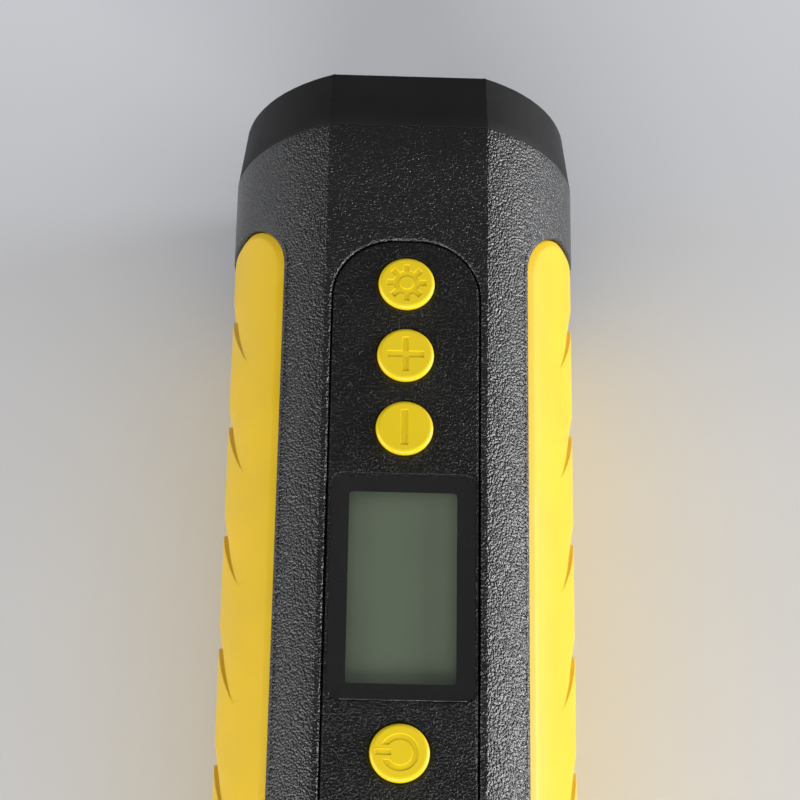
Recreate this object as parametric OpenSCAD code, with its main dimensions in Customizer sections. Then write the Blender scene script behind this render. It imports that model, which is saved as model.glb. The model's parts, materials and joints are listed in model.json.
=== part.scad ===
// Cordless hand-held tyre inflator with a clamshell barrel, side grips and a control panel.
// It lies on its back: +X to the right, +Y to the head, +Z out of the display.
// The origin is on the surface it lies on, under the middle of its length.

/* [Body] */
// Length of the two body shells, without the end caps
body_l = 202; // [190:1:245]
// Radius of the barrel
barrel_r = 33; // [32.5:0.1:40]
// Half width of the flats on the front and on the back
flat_half = 14.86; // [14.4:0.02:16]
// Wall of the shells and the caps
wall = 2.8; // [2.6:0.05:3]
// Length of each end cap
cap_l = 12; // [12:0.5:15]
// How far the caps draw in towards their ends
cap_taper = 1.48; // [0.8:0.02:1.5]
// Chamfer round each cap's end face
cap_chamfer = 0.8; // [0.4:0.1:1.2]

/* [Grips] */
// How far the face of a grip lies below the barrel's surface
grip_drop = 0.25; // [0.1:0.05:0.4]
// Depth of the recess that holds a grip
grip_sink = 1.6; // [1.4:0.05:1.7]
// Half height of a grip, seen from the side
grip_half = 23.4; // [20:0.1:24]
// Distance from each end of the shells to the grip
grip_end = 16; // [15:0.1:25]
// Corner radius of a grip, seen from the side
grip_corner = 11; // [6:0.1:12]
// Distance from one scallop to the next
scallop_pitch = 22; // [18:1:30]
// Depth of a scallop
scallop_depth = 0.8; // [0.4:0.05:1]

/* [Controls] */
// Radius of the button caps
button_r = 5.15; // [4.2:0.05:6.3]
// Height of the buttons above the panel
button_proud = 0.7; // [0.4:0.1:1.2]
// Travel of a button
button_travel = 0.8; // [0.4:0.1:0.9]
// Distance between the three upper buttons
button_pitch = 14.32; // [13.9:0.02:16]
// Distance from the head end of the shells to the first button
button_first = 33.1; // [32:0.05:34]
// Distance from the head end of the shells to the power button
power_from_head = 121.5; // [120:0.1:130]
// Half width of the control panel
panel_half = 13.45; // [13.2:0.05:13.6]
// Length of the control panel
panel_l = 120.7; // [118:0.1:130]
// Distance from the head end of the shells to the panel
panel_from_head = 24.3; // [22:0.1:26]
// Corner radius of the control panel
panel_corner = 11.5; // [6:0.1:13]
// Thickness of the control panel
panel_t = 1.6; // [1.4:0.1:1.7]

/* [Display] */
// Width of the window lens
lens_w = 25.9; // [24:0.1:26]
// Length of the window lens
lens_l = 41.6; // [39:0.1:42]
// Thickness of the window lens
lens_t = 1; // [0.8:0.1:1.2]
// Corner radius of the window lens
lens_corner = 2.3; // [1:0.1:4]
// Distance from the head end of the shells to the middle of the window
lens_from_head = 91.43; // [90:0.05:93]

/* [Pump] */
// Radius of the cylinder bore
bore_r = 8; // [6.6:0.1:9.7]
// Wall of the cylinder
cylinder_wall = 2; // [1.6:0.1:2]
// Throw of the crank
crank_throw = 5; // [4:0.1:5]
// Distance between the two eyes of the connecting rod
rod_l = 22; // [22:0.1:22.5]
// Module of the gears
gear_module = 0.6; // [0.58:0.01:0.61]
// Teeth on the motor's pinion
pinion_teeth = 10; // [9:1:10]
// Teeth on the crank gear
gear_teeth = 35; // [34:1:36]

/* [Motor and cells] */
// Radius of the motor can
motor_r = 13.85; // [11:0.05:14]
// Length of the motor can
motor_l = 37.8; // [30:0.1:45]
// Radius of a battery cell
cell_r = 9.2; // [7.5:0.1:11.1]
// Length of a battery cell
cell_l = 65; // [50:0.5:70]

/* [Outlet and charging] */
// Radius of the socket that takes the hose's plug
outlet_r = 3.1; // [2.5:0.05:3.6]
// Depth of that socket
outlet_depth = 9; // [7:0.5:9]
// Half width of the charging socket's mouth
charge_half_w = 4.5; // [4:0.1:5]
// Half height of the charging socket's mouth
charge_half_h = 1.6; // [1.3:0.1:1.9]

/* [Hidden] */
$fn = 72;

// Clearances and gaps
gap = 0.15;          // between trim pieces that meet in a recess
button_gap = 0.25;   // round a button cap
run_fit = 0.05;      // radial clearance of a running fit
piston_fit = 0.08;   // radial clearance of the piston
open_pivot_gap = 0.3; // between the crank pin's end and the rod
part_gap = 0.3;      // between parts that pass each other

// The barrel
flat_h = sqrt(barrel_r * barrel_r - flat_half * flat_half);
axis_z = flat_h;
head_y = body_l / 2;
tail_y = -head_y;
inner_r = barrel_r - wall;
inner_h = flat_h - wall;
lip_t = 0.55;
lip_h = 1.4;

// Grips
grip_l = body_l - 2 * grip_end;
grip_floor = barrel_r - grip_sink;
grip_r = barrel_r - grip_drop;
scallop_half = 18.3;    // half height of a scallop
scallop_arc = 19.3;     // radius of a scallop's sharp edge, seen from the side
scallop_drop = scallop_arc - sqrt(scallop_arc * scallop_arc - scallop_half * scallop_half);
scallop_run = 6.5;      // length of a scallop at its middle
scallop_rise = scallop_drop + scallop_run;
scallop_top = (scallop_half * scallop_half + scallop_rise * scallop_rise) / (2 * scallop_rise);
bed_sag = grip_r - sqrt(grip_r * grip_r - scallop_half * scallop_half) - scallop_depth;
bed_r = (scallop_half * scallop_half + bed_sag * bed_sag) / (2 * bed_sag);
scallop_first = 12.3;   // from the head end of a grip to the first sharp edge
scallop_margin = 8;     // least of the grip that is left beyond the last scallop
scallop_count = floor((grip_l - scallop_first - scallop_drop - scallop_margin) / scallop_pitch) + 1;
grip_play = 0.05;       // between a grip and the floor of its recess
lip_play = 0.05;        // between the rear shell's lip and its seat

// Controls
button_ys = [head_y - button_first, head_y - button_first - button_pitch,
             head_y - button_first - 2 * button_pitch, head_y - power_from_head];
panel_hi = head_y - panel_from_head;
panel_lo = panel_hi - panel_l;
panel_under = flat_h - panel_t;
button_sink = 0.05;                 // play between a button's flange and the panel
flange_t = 0.85;
flange_extra = 0.85;                // how far the flange reaches past the cap
flange_r = button_r + flange_extra;
flange_hi = panel_under - button_sink;
flange_lo = flange_hi - flange_t;
floor_hole_r = flange_r + 0.4;
icon_depth = 0.3;
post_r = 1.6;
plunger_r = 1.1;
plunger_top = button_travel + 0.4;  // how far a plunger stands above its switch
switch_half = 3;
switch_h = 2;
hole_chamfer = 0.5;                 // chamfer round each button hole, 0.1 less than it is deep

// Icons
sun_r = 2.4;
sun_hole_r = 1.33;
ray_l = 7.2;
ray_w = 1.1;
plus_l = 6.7;
plus_w = 1.2;
minus_l = 6.8;
minus_w = 1.3;
ring_r = 3.25;
ring_w = 1;
ring_mouth = 2.6;
bar_l = 2.75;
bar_w = 1;
bar_x = -2.8;

// Display stack, measured down from the panel's face
lens_y = head_y - lens_from_head;
mask_t = 0.15;
ledge = 1.6;                        // width of the ledge under the window
lens_drop = 0.05;                   // how far the lens lies below the panel's face
mask_lo = flat_h - lens_t - mask_t;
glass_w = 23;
glass_l = 39;
glass_t = 2.8;
glass_hi = inner_h - part_gap;
glass_lo = glass_hi - glass_t;
frame_wall = 1.2;
frame_lip = 0.6;                    // how far the frame ends below the glass's face

// Main board
board_t = 1.6;
board_hi = flat_h - 11.065;
board_lo = board_hi - board_t;
board_half = 14;
board_y0 = head_y - 131;
board_y1 = head_y - 25;
board_screw_x = 10.9;
board_screw_ys = [head_y - 129, head_y - 60.6, head_y - 27];
board_boss_r = 2.4;
board_screw_r = 0.9;
board_screw_l = 6;
board_screw_head_r = 1.9;
board_screw_head_t = 1.4;
board_hole_r = 1;
backlight_t = 2;

// Screws that close the shells
spigot_l = 1.8;                     // how far a cap reaches into the shells
column_x = 17.8;
column_r = 3.3;
column_end = spigot_l + column_r + gap;
column_ys = [head_y - column_end, head_y - 79, tail_y + column_end];
shell_screw_seat = -12;
shell_screw_top = 8;
shell_screw_r = 1.25;
shell_screw_head_r = 2.1;
shell_screw_head_t = 1.8;
shell_screw_hole_r = 1.6;
shell_counterbore_r = 2.3;

// Caps
cap_inner = wall + cap_taper;       // inset of the hollow in a cap
cap_end = head_y + cap_l;
cap_floor = cap_end - wall;
cap_screw_h = 14.5;
cap_screw_r = 1.1;
cap_screw_head_r = 2.1;
cap_screw_head_t = 1.3;
cap_screw_sink = 1.5;
cap_screw_l = 17.6;
cap_screw_play = 0.2;
cap_boss_l = 8.4;
cap_pilot_floor = 0.6;
cap_post_r = 2.6;

// Lamp
lamp_h = 14;
lamp_half_w = 11;
lamp_half_h = 4.3;
lamp_lens_t = 1.9;
reflector_wall = 0.9;
reflector_l = 6;
lamp_board_t = 1.2;
lamp_rim = 1;                       // width of the cap's ledge behind the lamp's lens
led_x = 5;
led_w = 3.5;
led_h = 2.8;
led_t = 1.2;

// Outlet
outlet_end = cap_end - 0.6;
outlet_floor = outlet_end - outlet_depth;
outlet_body_r = 6;
outlet_flange_r = 7.8;
outlet_flange_t = 2.2;
barb_r = 1.9;
barb_bore_r = 1;
barb_l = 4;
seal_t = 0.8;
seal_r = 2.4;
fitting_floor = 1.2;
fitting_y0 = outlet_floor - seal_t - fitting_floor;

// Motor, on the barrel's axis
motor_y1 = head_y - 61;
motor_y0 = motor_y1 - motor_l;
motor_wall = 1.3;
motor_shaft_r = 1.15;
motor_boss_r = 5;
motor_boss_l = 3;
motor_screw_h = 8;
motor_screw_r = 1.25;
armature_r = 9.2;
cradle_t = 2;
cradle_ys = [motor_y0 + 6, motor_y1 - 8];

// Air intake, behind the motor
slot_pitch = 3.6;
slot_l = 20;
slot_w = 1.6;
slot_count = 8;
slot_y0 = motor_y0 - 22.4;

// Gearbox frame
plate_t = 3.5;
plate_y1 = motor_y1 + plate_t;
plate_half_w = 23;
plate_half_h = 14;
bush_r = 5;
bush_boss_r = 6.6;
bush_gap = 0.4;                     // between the bush and the gear
frame_post_xs = [-6, 12.7];
frame_post_r = 3;
frame_screw_r = 1;
frame_screw_l = 7;
frame_screw_head_r = 2.1;
frame_screw_head_t = 1.5;

// Gears
centre_gap = gear_module * (pinion_teeth + gear_teeth) / 2;
crank_x = -centre_gap;
pressure_angle = 25;
addendum = 0.8 * gear_module;
dedendum = 1.0 * gear_module;
backlash = 0.14;
gear_y0 = head_y - 49.5;
gear_t = 5;
gear_y1 = gear_y0 + gear_t;
gear_shaft_r = 2;
hub_r = 4;
hub_l = 0.3;
pinion_extra = 0.5;                 // how far the pinion is longer than the gear, at each end
weight_r = 9.4;                     // counterweight
weight_t = 3;
weight_edge = -0.2;                 // its straight edge, from the shaft's axis
crank_pin_seat = 4;                 // how deep the crank pin sits in the gear

// Pump, across the barrel
piston_r = bore_r - piston_fit;
pump_y = gear_y1 + 1.98 + piston_r; // the piston clears the pinion
frame_post_ys = [motor_y1 + 10, pump_y + 6];
rod_t = 5;
rod_half = 2.3;
small_eye_r = 2.7;
big_eye_r = 4.4;
crank_pin_r = 2;
bearing_r = 3.2;
wrist_pin_r = 1.6;
wrist_x = crank_x + crank_throw + rod_l;
crown_x = wrist_x + 4.5;
skirt_x = wrist_x - 3.5;
cup_x0 = crown_x - 1.6;
cup_t = 1;
cup_depth = 1.2;
cup_play = 0.02;
crown_gap = 0.5;                    // between the crown and the head at the end of the stroke
gasket_x = crown_x + crown_gap;
gasket_t = 0.5;
head_x0 = gasket_x + gasket_t;
head_t = 6.6;
head_x1 = head_x0 + head_t;
cylinder_x0 = 4.6;
cylinder_r = bore_r + cylinder_wall;
flange_x0 = gasket_x - 3;
flange_half = cylinder_r + 2.5;
base_hi = -flange_half - 0.5;
base_lo = base_hi - 3;
pump_screw = flange_half - 2.1;
pump_screw_r = 1.25;
pump_screw_head_r = 2.1;
pump_screw_head_t = 1.3;
wall_x0 = 6.8;                      // upright wall of the gearbox frame
wall_x1 = 10.4;
base_x0 = -10;
base_x1 = 18.4;
inlet_hole_r = 0.7;

// Delivery valve, upright in the cylinder head
valve_x = head_x0 + head_t / 2;
chamber_r = 2.4;
seat_h = 2.5 - bore_r;
chamber_top = flange_half - 3.5;
poppet_t = 1.2;
poppet_r = 1.9;
poppet_stem_r = 0.8;
poppet_stem_l = 3;
spring_coil_r = 1.5;
spring_wire_r = 0.22;
spring_turns = 6;
port_r = 1.2;
port_depth = 2.5;
sensor_half_x = 3;
sensor_half_y = 3.5;
sensor_t = 2.8;

// Air tube
tube_r = 2.9;
tube_bend = 6;
tube_y0 = pump_y + flange_half + part_gap;
tube_y1 = fitting_y0;

// Cells
cell_gap = 0.1;
cell_ring = (cell_r + cell_gap / 2) * 2 / sqrt(3);
cell_angles = [270, 30, 150];
cell_drop = min(0, board_lo - 2 - cell_ring / 2 - cell_r);
cells_y0 = tail_y + 11;
cells_y1 = cells_y0 + cell_l;
socket_depth = 3;
holder_floor = 2;
holder_gap = 0.2;
holder_top = board_lo - board_screw_head_t - part_gap;
tab_t = 0.2;

// Charging socket and its cover
charge_board_w = 22;
charge_board_h = 16;
charge_board_t = 1.4;
charge_board_y = tail_y - 0.2;
socket_wall = 0.4;
cover_half_w = charge_half_w + 3;
cover_t = 1.8;
cover_pin_h = charge_half_h + 4.6;
cover_lo = -charge_half_h - 3.8;
cover_pin_r = 0.6;
cover_pin_half = cover_half_w + 1.8;
knuckle_r = 1.15;
cover_pin_y = -cap_end + knuckle_r;
pocket_floor = -cap_end + 2 * knuckle_r + part_gap;
pad_t = 2;
tongue_half_t = 0.35;               // the contact tongue in the charging socket
tongue_inset = 1.3;

// ---- Helpers. A height h is measured from the barrel's axis.

module along(y0, y1) {
  translate([0, y1, axis_z]) rotate([90, 0, 0]) linear_extrude(y1 - y0) children();
}

module rod_x(r, x0, x1, y, h) {
  translate([x0, y, axis_z + h]) rotate([0, 90, 0]) cylinder(r = r, h = x1 - x0);
}

module rod_y(r, y0, y1, x = 0, h = 0) {
  translate([x, y1, axis_z + h]) rotate([90, 0, 0]) cylinder(r = r, h = y1 - y0);
}

module rod_h(r, h0, h1, x, y) {
  translate([x, y, axis_z + h0]) cylinder(r = r, h = h1 - h0);
}

module block(x, y, h) {
  translate([x[0], y[0], axis_z + h[0]]) cube([x[1] - x[0], y[1] - y[0], h[1] - h[0]]);
}

module both_sides() {
  children();
  mirror([1, 0, 0]) children();
}

module barrel_2d(inset = 0) {
  intersection() {
    circle(r = barrel_r - inset);
    square([2 * barrel_r, 2 * (flat_h - inset)], center = true);
  }
}

module rounded_2d(l, w, r) {
  square([l, w - 2 * r], center = true);
  square([l - 2 * r, w], center = true);
  for (sx = [-1, 1], sy = [-1, 1])
    translate([sx * (l / 2 - r), sy * (w / 2 - r)]) circle(r = r);
}

// A flat plate seen from the front, with its middle at y and its faces at h0 and h1
module front_plate(w, l, r, y, h0, h1) {
  translate([0, y, axis_z + h0]) linear_extrude(h1 - h0) rounded_2d(w, l, r);
}

// An upright plate seen from the end, with its middle at height h
module end_plate(w, t, r, h, y0, y1) {
  along(y0, y1) translate([0, h]) rounded_2d(w, t, r);
}

// An upright plate in the lamp, with its middle at x
module lamp_plate(x, w, t, y0, y1) {
  along(y0, y1) translate([x, lamp_h]) rounded_2d(w, t, 0.4);
}

// A rounded ring seen from the end
module end_ring(w1, t1, w0, t0, h, y0, y1) {
  along(y0, y1) translate([0, h]) difference() {
    rounded_2d(w1, t1, t1 / 2 - 0.01);
    rounded_2d(w0, t0, t0 / 2 - 0.01);
  }
}

module upper_half() {
  block([-2 * barrel_r, 2 * barrel_r], [-2 * body_l, 2 * body_l], [0, 2 * barrel_r]);
}

module lower_half() {
  block([-2 * barrel_r, 2 * barrel_r], [-2 * body_l, 2 * body_l], [-2 * barrel_r, 0]);
}

// ---- Grips and the recesses that hold them

module grip_outline(grow) {
  translate([0, 0, axis_z]) rotate([90, 0, 90]) linear_extrude(2 * barrel_r)
    rounded_2d(grip_l + 2 * grow, 2 * (grip_half + grow), grip_corner + grow);
}

module grip_patch(r0, r1, grow) {
  intersection() {
    along(tail_y, head_y) difference() {
      circle(r = r1);
      circle(r = r0);
    }
    grip_outline(grow);
  }
}

// A scallop seen from the side is a crescent, whose sharp edge has its middle at tip_y
module scallop(tip_y) {
  intersection() {
    difference() {
      rod_x(scallop_top, 0, 2 * barrel_r, tip_y + scallop_run - scallop_top, 0);
      rod_x(scallop_arc, -1, 3 * barrel_r, tip_y - scallop_arc, 0);
    }
    difference() {
      block([0, 2 * barrel_r], [tail_y, head_y], [-barrel_r, barrel_r]);
      rod_y(bed_r, tail_y - 1, head_y + 1, grip_r - scallop_depth - bed_r, 0);
    }
  }
}

module grip() {
  color("#f2d533") difference() {
    grip_patch(grip_floor + grip_play, grip_r, 0);
    for (i = [0 : scallop_count - 1])
      scallop(head_y - grip_end - scallop_first - i * scallop_pitch);
  }
}

module right_grip() { grip(); }

module left_grip() { mirror([1, 0, 0]) grip(); }

module grip_recesses() {
  both_sides() grip_patch(grip_floor, 2 * barrel_r, gap);
}

// ---- Shells

module shell_tube() {
  along(tail_y, head_y) difference() {
    barrel_2d();
    barrel_2d(wall);
  }
}

module column(h0, h1) {
  for (y = column_ys, side = [-1, 1]) intersection() {
    rod_h(column_r, h0, h1, side * column_x, y);
    along(tail_y, head_y) barrel_2d(wall / 2);
  }
}

module cap_screw_bosses() {
  for (end = [-1, 1], side = [-1, 1])
    mirror([0, end > 0 ? 0 : 1, 0])
      rod_y(cap_post_r, head_y - cap_boss_l, head_y - spigot_l - gap, side * column_x, cap_screw_h);
}

module cap_screw_pilots() {
  for (end = [-1, 1], side = [-1, 1])
    mirror([0, end > 0 ? 0 : 1, 0])
      rod_y(cap_screw_r, head_y - cap_boss_l + cap_pilot_floor, head_y,
            side * column_x, cap_screw_h);
}

module board_bosses() {
  for (y = board_screw_ys, side = [-1, 1])
    rod_h(board_boss_r, board_hi, inner_h + 0.2, side * board_screw_x, y);
}

module front_shell() {
  color("#232325") difference() {
    union() {
      intersection() {
        shell_tube();
        upper_half();
      }
      column(0, flat_h);
      cap_screw_bosses();
      board_bosses();
    }
    grip_recesses();
    along(tail_y - 1, head_y + 1) intersection() {
      circle(r = inner_r + lip_t + lip_play);
      square([2 * barrel_r, 2 * (lip_h + gap)], center = true);
      difference() {
        square(4 * barrel_r, center = true);
        square([2 * inner_r - 3, barrel_r], center = true);
      }
    }
    front_plate(2 * (panel_half + gap), panel_l + 2 * gap, panel_corner + gap,
                (panel_hi + panel_lo) / 2, panel_under, flat_h + 1);
    for (y = button_ys) rod_h(floor_hole_r, inner_h - 1, flat_h, 0, y);
    front_plate(lens_w - 2 * ledge, lens_l - 2 * ledge, 1, lens_y, inner_h - 1, flat_h);
    for (y = column_ys, side = [-1, 1])
      rod_h(shell_screw_r, -1, shell_screw_top + 1, side * column_x, y);
    cap_screw_pilots();
    for (y = board_screw_ys, side = [-1, 1])
      rod_h(board_screw_r, board_hi - 1, board_hi + board_screw_l - 1, side * board_screw_x, y);
  }
}

module intake_slots() {
  for (i = [0 : slot_count - 1])
    translate([0, slot_y0 + slot_pitch * i, 0])
      linear_extrude(4 * wall, center = true) rounded_2d(slot_l, slot_w, slot_w / 2 - 0.01);
}

module motor_cradles() {
  for (y = cradle_ys) along(y, y + cradle_t) difference() {
    intersection() {
      barrel_2d(wall / 2);
      translate([0, -barrel_r]) square([2 * barrel_r, 2 * (barrel_r - 4)], center = true);
      square([2 * (column_x - column_r - part_gap), 4 * barrel_r], center = true);
    }
    circle(r = motor_r);
  }
}

module frame_posts() {
  for (y = frame_post_ys, x = frame_post_xs)
    rod_h(frame_post_r, -inner_h - 0.2, base_lo, x, y);
}

module rear_shell() {
  color("#232325") difference() {
    union() {
      intersection() {
        shell_tube();
        lower_half();
      }
      column(-flat_h, 0);
      motor_cradles();
      frame_posts();
      along(tail_y, head_y) both_lips();
    }
    grip_recesses();
    intake_slots();
    for (y = column_ys, side = [-1, 1]) {
      rod_h(shell_screw_hole_r, -flat_h - 1, 1, side * column_x, y);
      rod_h(shell_counterbore_r, -flat_h - 1, shell_screw_seat, side * column_x, y);
    }
    for (y = frame_post_ys, x = frame_post_xs)
      rod_h(frame_screw_r, base_lo - frame_screw_l - 1, base_lo + 1, x, y);
  }
}

module both_lips() {
  for (side = [-1, 1]) intersection() {
    difference() {
      circle(r = inner_r + lip_t);
      circle(r = inner_r);
    }
    translate([side * (inner_r + lip_t / 2), 0]) square([4, 2 * lip_h], center = true);
  }
}

// ---- End caps

// The outside of a cap, with its seam at z = 0 and its end at z = cap_l
module cap_outside() {
  end_r = barrel_r - cap_taper;
  end_h = flat_h - cap_taper;
  intersection() {
    rotate_extrude() polygon([
      [0, 0], [barrel_r, 0], [end_r, cap_l - cap_chamfer], [end_r - cap_chamfer, cap_l], [0, cap_l]
    ]);
    rotate([90, 0, 90]) linear_extrude(4 * barrel_r, center = true) polygon([
      [-flat_h, 0], [flat_h, 0], [end_h, cap_l - cap_chamfer], [end_h - cap_chamfer, cap_l],
      [-end_h + cap_chamfer, cap_l], [-end_h, cap_l - cap_chamfer]
    ]);
  }
}

// A hollow cap on the head end, with its two screw posts
module cap_blank() {
  difference() {
    union() {
      difference() {
        union() {
          translate([0, head_y, axis_z]) rotate([-90, 0, 0]) cap_outside();
          along(head_y - spigot_l, head_y) barrel_2d(wall + gap);
        }
        along(head_y - spigot_l - 1, cap_floor) barrel_2d(cap_inner);
      }
      for (side = [-1, 1])
        rod_y(cap_post_r, head_y - spigot_l, cap_floor + 0.1, side * column_x, cap_screw_h);
    }
    for (side = [-1, 1]) {
      rod_y(cap_screw_r + cap_screw_play, head_y - spigot_l - 1, cap_end + 1,
            side * column_x, cap_screw_h);
      rod_y(cap_screw_head_r + cap_screw_play, cap_end - cap_screw_sink, cap_end + 1,
            side * column_x, cap_screw_h);
    }
  }
}

module head_cap() {
  color("#2b2b2c") difference() {
    cap_blank();
    end_plate(2 * (lamp_half_w + gap), 2 * (lamp_half_h + gap), lamp_half_h + gap - 0.01, lamp_h,
              cap_end - lamp_lens_t - gap, cap_end + 1);
    end_plate(2 * (lamp_half_w - lamp_rim), 2 * (lamp_half_h - lamp_rim),
              lamp_half_h - lamp_rim - 0.01, lamp_h, cap_floor - 1, cap_end);
    rod_y(outlet_body_r + gap, cap_floor - 1, cap_end + 1);
  }
}

module cover_pocket() {
  pocket_hi = cover_pin_h + knuckle_r + gap;
  pocket_lo = cover_lo - gap;
  end_plate(2 * (cover_half_w + gap), pocket_hi - pocket_lo, 1.2, (pocket_hi + pocket_lo) / 2,
            -cap_end - 1, -cap_end + cover_t + gap);
  block([-cover_half_w - gap, cover_half_w + gap], [-cap_end - 1, pocket_floor],
        [cover_pin_h - knuckle_r - gap, pocket_hi]);
}

module tail_cap() {
  color("#2b2b2c") difference() {
    union() {
      mirror([0, 1, 0]) cap_blank();
      end_plate(2 * cover_pin_half + 4, 2 * cover_pin_h + 6, 2, 0,
                -cap_floor - 0.1, -cap_floor + pad_t);
    }
    cover_pocket();
    end_plate(2 * (charge_half_w + gap), 2 * (charge_half_h + gap), charge_half_h + gap - 0.01, 0,
              -cap_end - 1, -cap_floor + pad_t + 1);
    rod_x(cover_pin_r, -cover_pin_half, cover_pin_half, cover_pin_y, cover_pin_h);
  }
}

// ---- Control panel, buttons and display

module control_panel() {
  color("#1f1f20") difference() {
    front_plate(2 * panel_half, panel_l, panel_corner, (panel_hi + panel_lo) / 2,
                panel_under, flat_h);
    for (y = button_ys) {
      rod_h(button_r + button_gap, panel_under - 1, flat_h + 1, 0, y);
      translate([0, y, axis_z + flat_h + 0.1 - hole_chamfer])
        cylinder(r1 = button_r + button_gap, r2 = button_r + button_gap + hole_chamfer,
                 h = hole_chamfer);
    }
    front_plate(lens_w + 2 * gap, lens_l + 2 * gap, lens_corner + gap, lens_y, mask_lo, flat_h + 1);
    front_plate(lens_w - 2 * ledge, lens_l - 2 * ledge, 1, lens_y, panel_under - 1, flat_h);
  }
}

module window_lens() {
  color("#101012") front_plate(lens_w, lens_l, lens_corner, lens_y, mask_lo, flat_h - lens_drop);
}

module lcd_glass() {
  color("#5c665b") front_plate(glass_w, glass_l, 0.6, lens_y, glass_lo, glass_hi);
}

module lcd_frame() {
  color("#e8e8e4") difference() {
    front_plate(glass_w + 2 * frame_wall, glass_l + 2 * frame_wall, 1, lens_y,
                board_hi, glass_hi - frame_lip);
    front_plate(glass_w, glass_l, 0.6, lens_y, glass_lo, glass_hi);
    front_plate(glass_w - 2, glass_l - 2, 1, lens_y, board_hi + backlight_t, glass_hi);
  }
}

module sun_2d() {
  difference() {
    union() {
      circle(r = sun_r);
      for (a = [0 : 45 : 135]) rotate(a) square([ray_l, ray_w], center = true);
    }
    circle(r = sun_hole_r);
  }
}

module plus_2d() {
  square([plus_l, plus_w], center = true);
  square([plus_w, plus_l], center = true);
}

module minus_2d() {
  square([minus_w, minus_l], center = true);
}

module power_2d() {
  difference() {
    circle(r = ring_r);
    circle(r = ring_r - ring_w);
    translate([-ring_r, 0]) square([ring_r, ring_mouth], center = true);
  }
  translate([bar_x, 0]) square([bar_l, bar_w], center = true);
}

// A button with its flange and post, and the icon sunk in its face
module button(y) {
  top = flat_h + button_proud;
  color("#ecd32e") difference() {
    union() {
      translate([0, y, axis_z]) rotate_extrude() polygon([
        [0, flange_lo], [flange_r, flange_lo], [flange_r, flange_hi], [button_r, flange_hi],
        [button_r, top - 0.4], [button_r - 0.4, top], [0, top]
      ]);
      rod_h(post_r, board_hi + switch_h + plunger_top, flange_lo + 0.1, 0, y);
    }
    translate([0, y, axis_z + top - icon_depth]) linear_extrude(1) children();
  }
}

module plunger(y) {
  color("#151515") rod_h(plunger_r, board_hi + 1, board_hi + switch_h + plunger_top, 0, y);
}

module light_button() { button(button_ys[0]) sun_2d(); }
module plus_button() { button(button_ys[1]) plus_2d(); }
module minus_button() { button(button_ys[2]) minus_2d(); }
module power_button() { button(button_ys[3]) power_2d(); }
module light_plunger() { plunger(button_ys[0]); }
module plus_plunger() { plunger(button_ys[1]); }
module minus_plunger() { plunger(button_ys[2]); }
module power_plunger() { plunger(button_ys[3]); }

module tact_switches() {
  color("#b9bcc0") for (y = button_ys) difference() {
    block([-switch_half, switch_half], [y - switch_half, y + switch_half],
          [board_hi, board_hi + switch_h]);
    rod_h(plunger_r + run_fit, board_hi + 0.1, board_hi + 5, 0, y);
  }
}

module main_board() {
  color("#1f6b3a") difference() {
    block([-board_half, board_half], [board_y0, board_y1], [board_lo, board_hi]);
    for (y = board_screw_ys, side = [-1, 1])
      rod_h(board_hole_r, board_lo - 1, board_hi + 1, side * board_screw_x, y);
  }
}

module board_screws() {
  color("#b4b7bb") for (y = board_screw_ys, side = [-1, 1]) {
    rod_h(board_screw_head_r, board_lo - board_screw_head_t, board_lo, side * board_screw_x, y);
    rod_h(board_screw_r, board_lo - 0.1, board_lo + board_screw_l, side * board_screw_x, y);
  }
}

// ---- Screws that close the case

module shell_screws() {
  color("#3a3c40") for (y = column_ys, side = [-1, 1]) {
    rod_h(shell_screw_head_r, shell_screw_seat - shell_screw_head_t, shell_screw_seat,
          side * column_x, y);
    rod_h(shell_screw_r, shell_screw_seat - 0.1, shell_screw_top, side * column_x, y);
  }
}

module cap_screws() {
  seat = cap_end - cap_screw_sink;
  color("#3a3c40") for (end = [0, 1], side = [-1, 1]) mirror([0, end, 0]) {
    rod_y(cap_screw_head_r, seat, seat + cap_screw_head_t, side * column_x, cap_screw_h);
    rod_y(cap_screw_r, seat - cap_screw_l, seat + 0.1, side * column_x, cap_screw_h);
  }
}

// ---- Lamp and air outlet

module lamp_lens() {
  color("#e6eef2") end_plate(2 * lamp_half_w, 2 * lamp_half_h, lamp_half_h - 0.01, lamp_h,
                             cap_end - lamp_lens_t, cap_end - 0.1);
}

module lamp_reflector() {
  inside_w = 2 * (lamp_half_w - lamp_rim);
  inside_h = 2 * (lamp_half_h - lamp_rim);
  color("#d9dcde") end_ring(inside_w + 2 * reflector_wall, inside_h + 2 * reflector_wall,
                            inside_w, inside_h, lamp_h, cap_floor - reflector_l, cap_floor);
}

module lamp_board() {
  y1 = cap_floor - reflector_l;
  color("#f1f1ec") block([-lamp_half_w - 1, lamp_half_w + 1], [y1 - lamp_board_t, y1],
                         [lamp_h - lamp_half_h, lamp_h + lamp_half_h]);
}

module lamp_leds() {
  y0 = cap_floor - reflector_l;
  color("#f3e9a8") for (side = [-1, 1])
    lamp_plate(side * led_x, led_w, led_h, y0, y0 + led_t);
}

module outlet_fitting() {
  color("#c9a24a") difference() {
    union() {
      rod_y(outlet_body_r, fitting_y0, outlet_end);
      rod_y(outlet_flange_r, cap_floor - outlet_flange_t, cap_floor);
      rod_y(barb_r, fitting_y0 - barb_l, fitting_y0 + 0.1);
    }
    rod_y(outlet_r, outlet_floor, outlet_end + 1);
    rod_y(seal_r, outlet_floor - seal_t, outlet_floor + 0.1);
    rod_y(barb_bore_r, fitting_y0 - barb_l - 1, outlet_floor);
  }
}

module outlet_seal() {
  color("#161616") difference() {
    rod_y(seal_r, outlet_floor - seal_t, outlet_floor);
    rod_y(barb_bore_r, outlet_floor - seal_t - 1, outlet_floor + 1);
  }
}

module tube_2d() {
  difference() {
    circle(r = tube_r);
    circle(r = barb_r);
  }
}

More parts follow.
